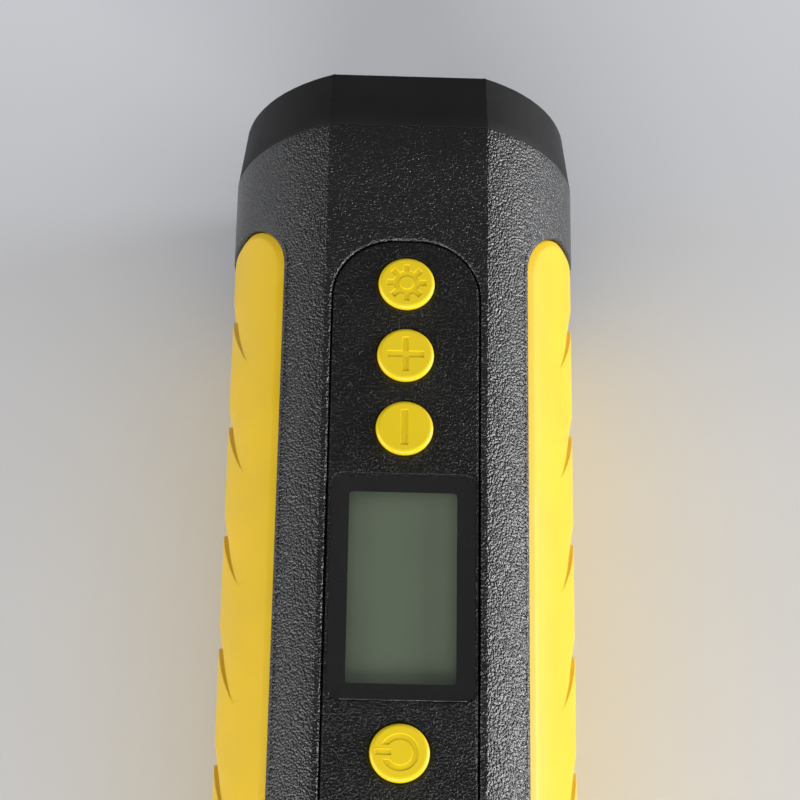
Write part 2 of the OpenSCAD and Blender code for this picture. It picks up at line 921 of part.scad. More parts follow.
// The tube turns once towards the middle and once towards the outlet
module air_tube() {
  bend_y = tube_y0 + barb_l;
  color("#3c3c3c") {
    along(tube_y0, bend_y) translate([valve_x, 0]) tube_2d();
    translate([valve_x - tube_bend, bend_y, axis_z])
      rotate_extrude(angle = 90) translate([tube_bend, 0]) tube_2d();
    translate([tube_bend, bend_y + tube_bend, axis_z])
      rotate([0, 90, 0]) linear_extrude(valve_x - 2 * tube_bend) tube_2d();
    translate([tube_bend, bend_y + 2 * tube_bend, axis_z])
      rotate([0, 0, 180]) rotate_extrude(angle = 90) translate([tube_bend, 0]) tube_2d();
    along(bend_y + 2 * tube_bend, tube_y1) tube_2d();
  }
}

// ---- Gearbox frame

module gearbox_frame() {
  color("#a9adb2") difference() {
    union() {
      along(motor_y1, plate_y1) translate([0, (plate_half_h + base_lo) / 2])
        rounded_2d(2 * plate_half_w, plate_half_h - base_lo, 4);
      rod_y(bush_boss_r, plate_y1 - 0.1, gear_y0 - bush_gap, crank_x, 0);
      block([base_x0, base_x1], [plate_y1 - 0.1, pump_y + flange_half], [base_lo, base_hi]);
      block([wall_x0, wall_x1], [plate_y1 - 0.1, pump_y + flange_half], [base_lo, flange_half]);
    }
    rod_y(motor_boss_r, motor_y1 - 1, plate_y1 + 1);
    rod_y(bush_r, motor_y1 - 1, gear_y0, crank_x, 0);
    rod_x(cylinder_r, wall_x0 - 1, wall_x1 + 1, pump_y, 0);
    for (side = [-1, 1]) {
      rod_y(motor_screw_r + 0.1, motor_y1 - 1, plate_y1 + 1, 0, side * motor_screw_h);
      for (s = [-1, 1])
        rod_x(pump_screw_r, wall_x0 - 1, wall_x1 + 1, pump_y + s * pump_screw, side * pump_screw);
    }
    for (y = frame_post_ys, x = frame_post_xs)
      rod_h(frame_screw_r + 0.2, base_lo - 1, base_hi + 1, x, y);
  }
}

module frame_screws() {
  color("#b4b7bb") for (y = frame_post_ys, x = frame_post_xs) {
    rod_h(frame_screw_head_r, base_hi, base_hi + frame_screw_head_t, x, y);
    rod_h(frame_screw_r, base_lo - frame_screw_l, base_hi + 0.1, x, y);
  }
}

// ---- Gears and crank

// Involute of a circle: the angle gained at radius r on base radius b
function involute(b, r) =
  let (t = sqrt(max(0, (r / b) * (r / b) - 1))) t * 180 / PI - atan(t);

// Half of a tooth's angle at radius r
function tooth_half(teeth, r) =
  let (pitch_r = gear_module * teeth / 2, base_r = pitch_r * cos(pressure_angle))
  90 / teeth - backlash / 4 / pitch_r * 180 / PI
  + involute(base_r, pitch_r) - involute(base_r, max(r, base_r));

module gear_2d(teeth) {
  pitch_r = gear_module * teeth / 2;
  root_r = pitch_r - dedendum;
  tip_r = pitch_r + addendum;
  low_r = max(root_r + 0.02, pitch_r * cos(pressure_angle));
  flank = [root_r, for (i = [0 : 3]) low_r + (tip_r - low_r) * i / 3];
  points = [
    for (k = [0 : teeth - 1]) each concat(
      [for (r = flank) [r, 360 * k / teeth - tooth_half(teeth, r)]],
      [for (i = [4 : -1 : 0]) [flank[i], 360 * k / teeth + tooth_half(teeth, flank[i])]])
  ];
  polygon([for (p = points) p[0] * [cos(p[1]), sin(p[1])]]);
}

module drive_gear() {
  color("#d8d5c8") difference() {
    union() {
      along(gear_y0, gear_y1) translate([crank_x, 0]) gear_2d(gear_teeth);
      rod_y(hub_r, gear_y0 - hub_l, gear_y0 + 0.1, crank_x, 0);
      along(gear_y1 - 0.1, gear_y1 + weight_t) translate([crank_x, 0]) difference() {
        circle(r = weight_r);
        circle(r = hub_r);
        translate([weight_edge, -weight_r]) square(2 * weight_r);
      }
    }
    rod_y(gear_shaft_r, gear_y0 - 1, gear_y1 + 1, crank_x, 0);
    rod_y(crank_pin_r, gear_y1 - crank_pin_seat, gear_y1 + 1, crank_x + crank_throw, 0);
  }
}

module crank_pin() {
  color("#c2c5c9") rod_y(crank_pin_r, gear_y1 - crank_pin_seat, pump_y - rod_t / 2 - open_pivot_gap,
                         crank_x + crank_throw, 0);
}

module gear_shaft() {
  color("#c2c5c9") rod_y(gear_shaft_r, motor_y1 + 0.8, gear_y1, crank_x, 0);
}

module gear_bush() {
  color("#b98b4a") difference() {
    rod_y(bush_r, motor_y1 + 0.5, gear_y0 - bush_gap, crank_x, 0);
    rod_y(gear_shaft_r + run_fit, motor_y1 - 1, gear_y0 + 1, crank_x, 0);
  }
}

module motor_pinion() {
  color("#c9a24a") difference() {
    along(gear_y0 - pinion_extra, gear_y1 + pinion_extra)
      rotate(180 + 180 / pinion_teeth) gear_2d(pinion_teeth);
    rod_y(motor_shaft_r, gear_y0 - 1, gear_y1 + 1);
  }
}

// ---- Pump

module pump_screw_places() {
  for (sy = [-1, 1], sh = [-1, 1]) translate([0, sy * pump_screw, sh * pump_screw]) children();
}

module flange_plate(x0, x1) {
  block([x0, x1], [pump_y - flange_half, pump_y + flange_half], [-flange_half, flange_half]);
}

module pump_screw_holes() {
  pump_screw_places() rod_x(pump_screw_r + 0.15, flange_x0 - 1, head_x1 + 1, pump_y, 0);
}

module pump_cylinder() {
  color("#b6bac0") difference() {
    union() {
      rod_x(cylinder_r, cylinder_x0, gasket_x, pump_y, 0);
      flange_plate(flange_x0, gasket_x);
    }
    rod_x(bore_r, cylinder_x0 - 1, gasket_x + 1, pump_y, 0);
    pump_screw_holes();
  }
}

module head_gasket() {
  color("#7a3a2c") difference() {
    flange_plate(gasket_x, gasket_x + gasket_t);
    rod_x(bore_r + 0.3, gasket_x - 1, head_x0 + 1, pump_y, 0);
    pump_screw_holes();
  }
}

module cylinder_head() {
  color("#a3a7ad") difference() {
    union() {
      flange_plate(head_x0, head_x1);
      rod_y(barb_r, pump_y + flange_half - 0.1, pump_y + flange_half + barb_l, valve_x, 0);
    }
    rod_h(chamber_r, seat_h, flange_half + 1, valve_x, pump_y);
    rod_h(port_r, seat_h - port_depth, seat_h + 0.1, valve_x, pump_y);
    rod_x(inlet_hole_r, head_x0 - 1, valve_x, pump_y, seat_h - 1.6);
    rod_y(port_r, pump_y, pump_y + flange_half + barb_l + 1, valve_x, 0);
    pump_screw_holes();
  }
}

module head_screws() {
  color("#b4b7bb") pump_screw_places() {
    rod_x(pump_screw_head_r, head_x1, head_x1 + pump_screw_head_t, pump_y, 0);
    rod_x(pump_screw_r, wall_x0, head_x1 + 0.1, pump_y, 0);
  }
}

module valve_poppet() {
  color("#c2c5c9") {
    rod_h(poppet_r, seat_h, seat_h + poppet_t, valve_x, pump_y);
    rod_h(poppet_stem_r, seat_h + poppet_t - 0.1, seat_h + poppet_t + poppet_stem_l,
          valve_x, pump_y);
  }
}

// A coil as one closed tube of six sides, swept up its helix
module coil(mean_r, wire_r, turns, height) {
  steps = 12 * turns;
  sides = 6;
  rings = [for (i = [0 : steps]) for (j = [0 : sides - 1])
    let (a = 30 * i, b = 360 * j / sides, r = mean_r + wire_r * cos(b))
    [r * cos(a), r * sin(a), wire_r + (height - 2 * wire_r) * i / steps + wire_r * sin(b)]];
  walls = [for (i = [0 : steps - 1]) for (j = [0 : sides - 1])
    let (k = (j + 1) % sides) each [
      [i * sides + j, (i + 1) * sides + j, (i + 1) * sides + k],
      [i * sides + j, (i + 1) * sides + k, i * sides + k]]];
  ends = [[for (j = [0 : sides - 1]) j],
          [for (j = [sides - 1 : -1 : 0]) steps * sides + j]];
  polyhedron(rings, concat(walls, ends));
}

module valve_spring() {
  low = seat_h + poppet_t;
  color("#c2c5c9") translate([valve_x, pump_y, axis_z + low + 0.02])
    coil(spring_coil_r, spring_wire_r, spring_turns, chamber_top - low - 0.04);
}

module pressure_sensor() {
  color("#26262a") {
    rod_h(chamber_r, chamber_top, flange_half + 0.1, valve_x, pump_y);
    block([valve_x - sensor_half_x, valve_x + sensor_half_x],
          [pump_y - sensor_half_y, pump_y + sensor_half_y], [flange_half, flange_half + sensor_t]);
  }
}

module piston() {
  color("#c3c7cb") difference() {
    rod_x(piston_r, skirt_x, crown_x, pump_y, 0);
    block([skirt_x - 1, wrist_x + small_eye_r + 0.2],
          [pump_y - rod_t / 2 - part_gap, pump_y + rod_t / 2 + part_gap], [-5.5, 5.5]);
    rod_y(wrist_pin_r, pump_y - bore_r, pump_y + bore_r, wrist_x, 0);
    cup_ring(piston_r + 1);
  }
}

module cup_ring(r) {
  difference() {
    rod_x(r, cup_x0, cup_x0 + cup_t, pump_y, 0);
    rod_x(bore_r - cup_depth, cup_x0 - 1, cup_x0 + cup_t + 1, pump_y, 0);
  }
}

module piston_cup() {
  color("#f2efe6") cup_ring(bore_r - cup_play);
}

module wrist_pin() {
  half = sqrt(piston_r * piston_r - wrist_pin_r * wrist_pin_r) - 0.3;
  color("#8f9397") rod_y(wrist_pin_r, pump_y - half, pump_y + half, wrist_x, 0);
}

module connecting_rod() {
  y0 = pump_y - rod_t / 2;
  y1 = pump_y + rod_t / 2;
  big_x = wrist_x - rod_l;
  color("#b6bac0") difference() {
    union() {
      rod_y(small_eye_r, y0, y1, wrist_x, 0);
      rod_y(big_eye_r, y0, y1, big_x, 0);
      block([big_x, wrist_x], [y0, y1], [-rod_half, rod_half]);
    }
    rod_y(wrist_pin_r + run_fit, y0 - 1, y1 + 1, wrist_x, 0);
    rod_y(bearing_r, y0 - 1, y1 + 1, big_x, 0);
  }
}

module rod_bearing() {
  big_x = wrist_x - rod_l;
  color("#8f9397") difference() {
    rod_y(bearing_r, pump_y - rod_t / 2, pump_y + rod_t / 2, big_x, 0);
    rod_y(crank_pin_r + run_fit, pump_y - rod_t, pump_y + rod_t, big_x, 0);
  }
}

// ---- Motor

module motor_can() {
  color("#9aa0a6") difference() {
    union() {
      rod_y(motor_r, motor_y0, motor_y1);
      rod_y(motor_boss_r, motor_y1 - 0.1, motor_y1 + motor_boss_l);
    }
    rod_y(motor_r - motor_wall, motor_y0 - 1, motor_y1 - 1.6);
    rod_y(motor_shaft_r + run_fit, motor_y0, motor_y1 + motor_boss_l + 1);
    for (side = [-1, 1])
      rod_y(motor_screw_r, motor_y1 - 3, motor_y1 + 1, 0, side * motor_screw_h);
  }
}

module motor_endbell() {
  color("#1b1b1d") difference() {
    union() {
      rod_y(motor_r - motor_wall, motor_y0, motor_y0 + 2.5);
      rod_y(4, motor_y0 - 3, motor_y0 + 0.1);
    }
    rod_y(motor_shaft_r + run_fit, motor_y0 - 4, motor_y0 + 4);
  }
}

module motor_rotor() {
  color("#b57a42") {
    rod_y(motor_shaft_r, motor_y0 - 2.5, gear_y1 + 0.5);
    rod_y(armature_r, motor_y0 + 10, motor_y1 - 6);
    rod_y(armature_r / 2.5, motor_y0 + 3.5, motor_y0 + 10.1);
  }
}

module motor_screws() {
  color("#b4b7bb") for (side = [-1, 1]) {
    rod_y(2.2, plate_y1, plate_y1 + 1.5, 0, side * motor_screw_h);
    rod_y(motor_screw_r, motor_y1 - 1.6, plate_y1 + 0.1, 0, side * motor_screw_h);
  }
}

// ---- Cells

module at_cells() {
  for (a = cell_angles)
    translate([cell_ring * cos(a), cell_ring * sin(a) + cell_drop]) children();
}

module battery_cells() {
  color("#2f6fa8") along(cells_y0, cells_y1) at_cells() circle(r = cell_r);
}

module holder_2d() {
  intersection() {
    barrel_2d(wall + holder_gap);
    translate([0, holder_top - barrel_r]) square(2 * barrel_r, center = true);
  }
}

// A holder at the tail end of the cells; its floor is outside them
module holder_tail() {
  difference() {
    along(cells_y0 - holder_floor, cells_y0 + socket_depth) holder_2d();
    along(cells_y0, cells_y0 + socket_depth + 1) at_cells() circle(r = cell_r);
    along(cells_y0 - holder_floor - 1, cells_y0 + 1) at_cells() circle(r = cell_r / 2);
  }
}

module at_head_end_of_cells() {
  translate([0, cells_y0 + cells_y1, 0]) mirror([0, 1, 0]) children();
}

module cell_holders() {
  color("#3b3d42") {
    holder_tail();
    at_head_end_of_cells() holder_tail();
  }
}

function cell_at(i) = [cell_ring * cos(cell_angles[i]), cell_ring * sin(cell_angles[i]) + cell_drop];

// A strip that joins the cells i and j, with a dimple down to each
module tab(i, j) {
  p = cell_at(i);
  q = cell_at(j);
  d = q - p;
  y = cells_y0 - holder_floor;
  along(y - tab_t, y) translate((p + q) / 2) rotate(atan2(d[1], d[0]))
    square([norm(d) + cell_r / 2, cell_r / 2], center = true);
  for (c = [p, q]) rod_y(cell_r / 3, y - tab_t, cells_y0, c[0], c[1]);
}

module cell_tabs() {
  color("#c8cbce") {
    tab(0, 1);
    tab(2, 2);
    at_head_end_of_cells() {
      tab(1, 2);
      tab(0, 0);
    }
  }
}

// ---- Charging socket and its cover

module charge_board() {
  color("#1f6b3a") end_plate(charge_board_w, charge_board_h, 1, 0,
                             charge_board_y - charge_board_t, charge_board_y);
}

module charge_socket() {
  y1 = charge_board_y - charge_board_t;
  y0 = -cap_end + cover_t + gap + 0.1;
  color("#c2c5c9") {
    end_ring(2 * charge_half_w, 2 * charge_half_h, 2 * (charge_half_w - socket_wall),
             2 * (charge_half_h - socket_wall), 0, y0, y1 - 1);
    end_plate(2 * charge_half_w, 2 * charge_half_h, charge_half_h - 0.01, 0, y1 - 1, y1);
    block([-charge_half_w + tongue_inset, charge_half_w - tongue_inset], [y0 + 0.8, y1 - 0.9],
          [-tongue_half_t, tongue_half_t]);
  }
}

module port_cover() {
  top = cover_pin_h;
  color("#1d1d1e") difference() {
    union() {
      end_plate(2 * cover_half_w, top - cover_lo, 1, (top + cover_lo) / 2,
                -cap_end, -cap_end + cover_t);
      rod_x(knuckle_r, -cover_half_w, cover_half_w, cover_pin_y, cover_pin_h);
    }
    rod_x(cover_pin_r + run_fit, -barrel_r, barrel_r, cover_pin_y, cover_pin_h);
  }
}

module cover_pin() {
  color("#b4b7bb") rod_x(cover_pin_r, -cover_pin_half, cover_pin_half, cover_pin_y, cover_pin_h);
}

front_shell();
rear_shell();
head_cap();
tail_cap();
left_grip();
right_grip();
control_panel();
window_lens();
lcd_glass();
lcd_frame();
light_button();
plus_button();
minus_button();
power_button();
light_plunger();
plus_plunger();
minus_plunger();
power_plunger();
tact_switches();
main_board();
board_screws();
shell_screws();
cap_screws();
lamp_lens();
lamp_reflector();
lamp_board();
lamp_leds();
outlet_fitting();
outlet_seal();
air_tube();
gearbox_frame();
frame_screws();
gear_bush();
gear_shaft();
drive_gear();
crank_pin();
pump_cylinder();
head_gasket();
cylinder_head();
head_screws();
valve_poppet();
valve_spring();
pressure_sensor();
piston();
piston_cup();
wrist_pin();
connecting_rod();
rod_bearing();
motor_can();
motor_endbell();
motor_rotor();
motor_pinion();
motor_screws();
battery_cells();
cell_holders();
cell_tabs();
charge_board();
charge_socket();
port_cover();
cover_pin();
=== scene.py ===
"""Looks of a cordless hand-held tyre inflator: case, grips, buttons, window, caps and their finishes.

Every new piece is a surface worked out with numpy in the object's own frame: X to the right, Y to the
head, Z out of the display. A height h is measured from the barrel's axis. Lengths are in metres, and
sizes written in millimetres are multiplied by MM.
"""

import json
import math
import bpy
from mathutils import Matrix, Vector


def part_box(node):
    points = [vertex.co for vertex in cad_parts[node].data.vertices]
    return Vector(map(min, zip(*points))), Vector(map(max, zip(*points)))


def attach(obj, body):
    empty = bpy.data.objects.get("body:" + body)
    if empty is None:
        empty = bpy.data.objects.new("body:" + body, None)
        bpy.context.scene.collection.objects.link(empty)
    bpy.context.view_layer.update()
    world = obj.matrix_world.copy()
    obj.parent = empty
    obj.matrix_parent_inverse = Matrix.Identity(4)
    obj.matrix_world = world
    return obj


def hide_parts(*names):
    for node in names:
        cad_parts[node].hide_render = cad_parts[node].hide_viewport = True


bl_info = {
    "name": "Tyre inflator looks",
    "version": (1, 0, 0),
    "blender": (4, 5, 0),
    "location": "View3D > Sidebar > Inflator",
    "description": "Builds the case, grips, controls and finishes of a hand-held tyre inflator",
    "category": "Add Mesh",
}

import bmesh
import bpy
import numpy as np
from bpy.props import FloatProperty, FloatVectorProperty, PointerProperty
from bpy.types import Operator, Panel, PropertyGroup
from mathutils import Matrix, Vector
from mathutils.geometry import tessellate_polygon

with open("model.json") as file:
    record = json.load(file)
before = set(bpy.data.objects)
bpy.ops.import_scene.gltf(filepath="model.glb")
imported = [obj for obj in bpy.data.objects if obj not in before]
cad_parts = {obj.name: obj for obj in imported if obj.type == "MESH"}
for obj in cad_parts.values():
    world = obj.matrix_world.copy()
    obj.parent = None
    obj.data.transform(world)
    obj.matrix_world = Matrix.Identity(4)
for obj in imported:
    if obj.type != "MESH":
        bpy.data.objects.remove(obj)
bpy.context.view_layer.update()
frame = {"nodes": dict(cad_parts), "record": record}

MM = 0.001
ROOT = "root"
KEYS = ("light", "plus", "minus", "power")

# Steps of the case's grids. A side has half the points of a recess's end, so that its patches meet
SIDE_STEPS = 14
EDGE_STEPS = 5
FLAT_STEPS = 14
ARC_STEPS = 12
LONG_STEPS = 40

# What the caps and the case's ends are made to, apart from the sizes below
CASE_WALL = 2.6 * MM
CAP_TAPER = 1.48 * MM
CAP_WALL = 4.28 * MM
CAP_FLOOR = 2.8 * MM
WELL_EDGE = 0.2 * MM
FIT = 0.15 * MM
SCREW_STEPS = 48


def corners(node):
    """A node's lowest and highest corner, as arrays."""
    low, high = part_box(node)
    return np.array(low), np.array(high)


def plan_of(low, high):
    """A box's half sides, and its middle as seen from the front, on the barrel's line."""
    return (high - low) / 2, (0, (high[1] + low[1]) / 2)


# What the frame gives: the barrel's axis, its radius, flats and ends
shell_low, shell_high = corners("front_shell")
AXIS = shell_low[2]
FLAT = shell_high[2] - AXIS
RADIUS = shell_high[0]
HEAD = shell_high[1]
CAP_END = corners("head_cap")[1][1]
GRIP_LOW, GRIP_HIGH = corners("right_grip")
PANEL_LOW, PANEL_HIGH = corners("control_panel")
LENS_LOW, LENS_HIGH = corners("window_lens")
GLASS_LOW, GLASS_HIGH = corners("lcd_glass")


# ---- What a user would change


def size(name, mm, text, low=0.0):
    """A length in the sidebar, given in millimetres."""
    return FloatProperty(name=name, description=text, default=mm * MM, min=low * MM, precision=5,
                         subtype="DISTANCE", unit="LENGTH")


def angle(name, degrees, text):
    """An angle in the sidebar."""
    return FloatProperty(name=name, description=text, default=math.radians(degrees),
                         subtype="ANGLE", unit="ROTATION")


def number(name, value, text):
    """A plain number in the sidebar."""
    return FloatProperty(name=name, description=text, default=value, min=0.0)


def linear(code):
    """A colour written as sRGB hex, as linear light."""
    share = [int(code[i:i + 2], 16) / 255 for i in (1, 3, 5)]
    return [c / 12.92 if c <= 0.04045 else ((c + 0.055) / 1.055) ** 2.4 for c in share]


def colour(name, code, text):
    """A colour in the sidebar, given as sRGB hex."""
    return FloatVectorProperty(name=name, description=text, default=linear(code), size=3,
                               min=0.0, max=1.0, subtype="COLOR")


class CaseSizes(PropertyGroup):
    """Sizes of the case and its caps"""

    skin: size("Skin", 1.1, "Thickness of the case's skin", 0.3)
    flat_edge: size("Flat edge", 0.9, "Radius of the edges between the flats and the round sides")
    seam_edge: size("Seam edge", 0.16, "Radius of the edges where the case meets its caps")
    recess_edge: size("Recess edge", 0.6, "Radius of the edges of the recesses")
    recess_gap: size("Recess gap", 0.15, "Gap round what lies in a recess")
    grip_sink: size("Grip recess", 1.6, "Depth of the recesses that hold the grips")
    end_edge: size("End edge", 1.0, "Radius of the edge round a cap's end")


class GripSizes(PropertyGroup):
    """Sizes of the grips"""

    corner: size("Corner", 11.0, "Corner radius of a grip, seen from the side")
    rim: size("Rim", 1.0, "Width of the sloping rim round a grip")
    rim_drop: size("Rim drop", 0.4, "How far the rim falls towards its edge")
    pitch: size("Pitch", 22.0, "Distance from one scallop to the next", 10.0)
    first: size("First", 12.3, "Distance from a grip's head end to the first sharp edge")
    half: size("Half height", 17.5, "Half height of a scallop")
    arc: size("Drop", 14.8, "How far a scallop's sharp edge falls back towards its ends")
    spread: size("Spread", 13.6, "How far a scallop's soft edge falls back towards its ends")
    pull: number("Pull", 0.15, "How much shorter the sharp edge is than the soft one")
    run: size("Run", 4.3, "Length over which a scallop deepens in its middle")
    depth: size("Depth", 0.95, "Depth of a scallop at its sharp edge")


class ControlSizes(PropertyGroup):
    """Sizes of the control panel, its buttons and the window"""

    panel_corner: size("Panel corner", 11.5, "Corner radius of the control panel")
    panel_edge: size("Panel edge", 0.6, "Radius of the control panel's edge")
    hole_gap: size("Hole gap", 0.2, "Gap round a button")
    hole_edge: size("Hole edge", 0.5, "Radius of the edge round a button's hole")
    button_r: size("Button radius", 5.15, "Radius of the buttons")
    button_edge: size("Button edge", 0.75, "Radius of a button's upper edge")
    icon_depth: size("Icon depth", 0.17, "How deep the icons are sunk")
    lens_corner: size("Lens corner", 2.3, "Corner radius of the window")
    lens_edge: size("Lens edge", 0.22, "Radius of the window's edge")
    ledge: size("Ledge", 1.6, "Width of the ledge under the window")
    display_w: size("Display width", 19.15, "Width that the window's border leaves open")
    display_l: size("Display length", 35.3, "Length that the window's border leaves open")
    display_corner: size("Display corner", 0.7, "Corner radius of the border's opening")


class EndSizes(PropertyGroup):
    """Sizes of what shows on the two ends and on the back"""

    lamp_corner: size("Lamp corner", 4.29, "Corner radius of the lamp's lens")
    flute: size("Flute", 1.1, "Distance between the flutes in the lamp's lens", 0.4)
    outlet_r: size("Outlet", 3.1, "Radius of the socket for the hose")
    screw_head: size("Screw head", 2.1, "Radius of the screws' heads")
    screw_x: size("Screw place", 17.8, "Distance of the screws from the middle")
    screw_h: size("Cap screw height", 14.5, "Height of the cap screws above the axis")


class Colours(PropertyGroup):
    """Colours of the plastics that show"""

    housing: colour("Case", "#0e0e0f", "Black of the case")
    cap: colour("Caps", "#242425", "Black of the caps")
    panel: colour("Panel", "#121213", "Black of the control panel")
    grip: colour("Grips", "#e8bf08", "Yellow of the grips")
    button: colour("Buttons", "#fcdc24", "Yellow of the buttons")
    ink: colour("Border", "#0b0b0c", "Black border printed under the window")
    display: colour("Display", "#77856f", "Grey-green of the display")


class StageSettings(PropertyGroup):
    """Camera, floor and lights"""

    lens: number("Lens", 115.8, "Focal length on a 36 mm sensor, in mm")
    tilt: angle("Tilt", 23.33, "How far the camera leans back from straight above")
    turn: angle("Turn", 1.427, "How far the camera is turned to the right")
    roll: angle("Roll", -0.91, "How far the camera is rolled about its own line of sight")
    camera_x: size("Camera X", -11.46, "Place of the camera along X", -1e6)
    camera_y: size("Camera Y", -138.4, "Place of the camera along Y", -1e6)
    camera_z: size("Camera Z", 483.4, "Height of the camera above the floor")
    floor: colour("Floor", "#e1e3e9", "Pale paper under the object")
    room: number("Room light", 0.16, "Strength of the light from all round")
    key: number("Right light", 12.2, "Power of the low light on the right, in watts")
    side: number("Left light", 6.4, "Power of the light on the left, in watts")
    foot: number("Foot light", 8.6, "Power of the light beyond the tail, in watts")


# ---- Loops in a plane


def rounded(half_w, half_l, corner, across=2, along=2, arc=12):
    """Middles and directions of a rounded rectangle's loop, anticlockwise from the middle of its first
    corner. A point of the loop, grown by d, is its middle plus its direction times corner + d."""
    signs = ((1, 1), (-1, 1), (-1, -1), (1, -1), (1, 1))
    centres = [np.array([sx * (half_w - corner), sy * (half_l - corner)]) for sx, sy in signs]
    middles, turns = [], []
    for side in range(4):
        steps = (across, along)[side % 2]
        straight = np.linspace(0, 1, steps + 1)[1:-1, None]
        start, end = centres[side], centres[side + 1]
        first = np.linspace(45, 90, arc // 2 + 1) + 90 * side
        last = np.linspace(90, 135, arc // 2 + 1)[:-1] + 90 * side
        middles += [np.tile(start, (len(first), 1)), start + (end - start) * straight,
                    np.tile(end, (len(last), 1))]
        turns += [first, np.full(steps - 1, 90.0 + 90 * side), last]
    turn = np.radians(np.concatenate(turns))
    return np.concatenate(middles), np.stack([np.cos(turn), np.sin(turn)], 1)


def rounded_loop(half_w, half_l, corner, centre=(0, 0), grow=0.0, **steps):
    """A rounded rectangle's loop of points: each corner is a quarter circle, each side is straight."""
    middles, directions = rounded(half_w, half_l, corner, **steps)
    return middles + directions * (corner + grow) + np.array(centre)


def circle_loop(radius, centre=(0, 0), count=96):
    """A circle: cosine and sine of an even turn, times the radius."""
    turn = np.linspace(0, 2 * np.pi, count, endpoint=False)
    return np.stack([np.cos(turn), np.sin(turn)], 1) * radius + np.array(centre)


def grown(loop, distance):
    """Every edge of an anticlockwise loop moved out by distance, met again where neighbours cross."""
    edge = np.roll(loop, -1, 0) - loop
    edge /= np.linalg.norm(edge, axis=1, keepdims=True)
    after = np.stack([edge[:, 1], -edge[:, 0]], 1)
    before = np.roll(after, 1, 0)
    return loop + distance * (before + after) / (1 + (before * after).sum(1, keepdims=True))


def rim(loop, top, edge, side, steps=5):
    """Loops and levels from a flat face round an edge and onto its wall: a quarter circle of radius
    edge. Side is -1 round an outline and 1 round a hole. A loop just before it keeps the face flat."""
    turn = np.linspace(0, np.pi / 2, steps)
    levels = [(grown(loop, side * (edge + 0.04 * MM)), top)]
    levels += [(grown(loop, side * edge * (1 - math.sin(t))), top - edge * (1 - math.cos(t)))
               for t in turn]
    return levels + [(loop, top - edge - 0.04 * MM)]


# ---- Meshes


def on_front(points, level):
    """Points of the XY plane, at a height above the axis."""
    return np.column_stack([points, np.full(len(points), AXIS + level)])


def on_end(sign):
    """Places points of the XH plane at a distance along the barrel, on the head (1) or the tail (-1)."""
    def place(points, level):
        return np.column_stack([points[:, 0], np.full(len(points), sign * level), AXIS + points[:, 1]])
    return place


def sheet_of(points, closed=False):
    """Quads through a grid of points, rows by columns. Closed joins each row's end to its start."""
    rows, columns, _ = points.shape
    i = np.arange(rows - 1)[:, None] * columns
    j = np.arange(columns if closed else columns - 1)[None]
    k = (j + 1) % columns
    faces = np.stack([i + j, i + k, i + k + columns, i + j + columns], -1)
    return points.reshape(-1, 3), faces.reshape(-1, 4).tolist()


def band(levels, place):
    """A closed band of quads through loops, each with its level."""
    return sheet_of(np.stack([place(loop, level) for loop, level in levels]), closed=True)


def face(loops, level, place):
    """The flat region inside the first loop and outside the others, cut into triangles."""
    flat = [[(x, y, 0.0) for x, y in loop] for loop in loops]
    return place(np.concatenate(loops), level), [list(t) for t in tessellate_polygon(flat)]


def lathe(profile, origin, axis="y", count=96):
    """A surface of revolution about X or Y: each point of the profile (radius, distance along) makes a
    circle."""
    turn = np.linspace(0, 2 * np.pi, count, endpoint=False)
    radius, along = np.array(profile).T
    ring = radius[:, None] * np.cos(turn), radius[:, None] * np.sin(turn)
    reach = np.broadcast_to(along[:, None], ring[0].shape)
    order = {"x": (reach, *ring), "y": (ring[0], reach, ring[1])}[axis]
    return sheet_of(np.stack(order, -1) + np.array(origin), closed=True)


def piece(name, patches, material, body=ROOT, replaces=(), crease=30, thickness=0.0):
    """Joins patches into one mesh, closes its seams, turns its faces outwards and puts it in place."""
    verts, faces = [], []
    count = 0
    for points, cells in patches:
        verts.append(points)
        faces += [[v + count for v in cell] for cell in cells]
        count += len(points)
    mesh = bpy.data.meshes.new(name)
    mesh.from_pydata(np.concatenate(verts), [], faces)
    shape = bmesh.new()
    shape.from_mesh(mesh)
    bmesh.ops.remove_doubles(shape, verts=shape.verts, dist=0.002 * MM)
    bmesh.ops.dissolve_degenerate(shape, edges=shape.edges, dist=0.001 * MM)
    bmesh.ops.recalc_face_normals(shape, faces=shape.faces)
    shape.to_mesh(mesh)
    shape.free()
    mesh.shade_smooth()
    mesh.set_sharp_from_angle(angle=math.radians(crease))
    made = bpy.data.objects.new(name, mesh)
    bpy.context.scene.collection.objects.link(made)
    mesh.materials.append(material)
    if thickness:
        wall = made.modifiers.new("Wall", "SOLIDIFY")
        wall.thickness = thickness
        wall.offset = -1
    if replaces:
        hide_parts(*replaces)
    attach(made, body)
    return made


# ---- Case


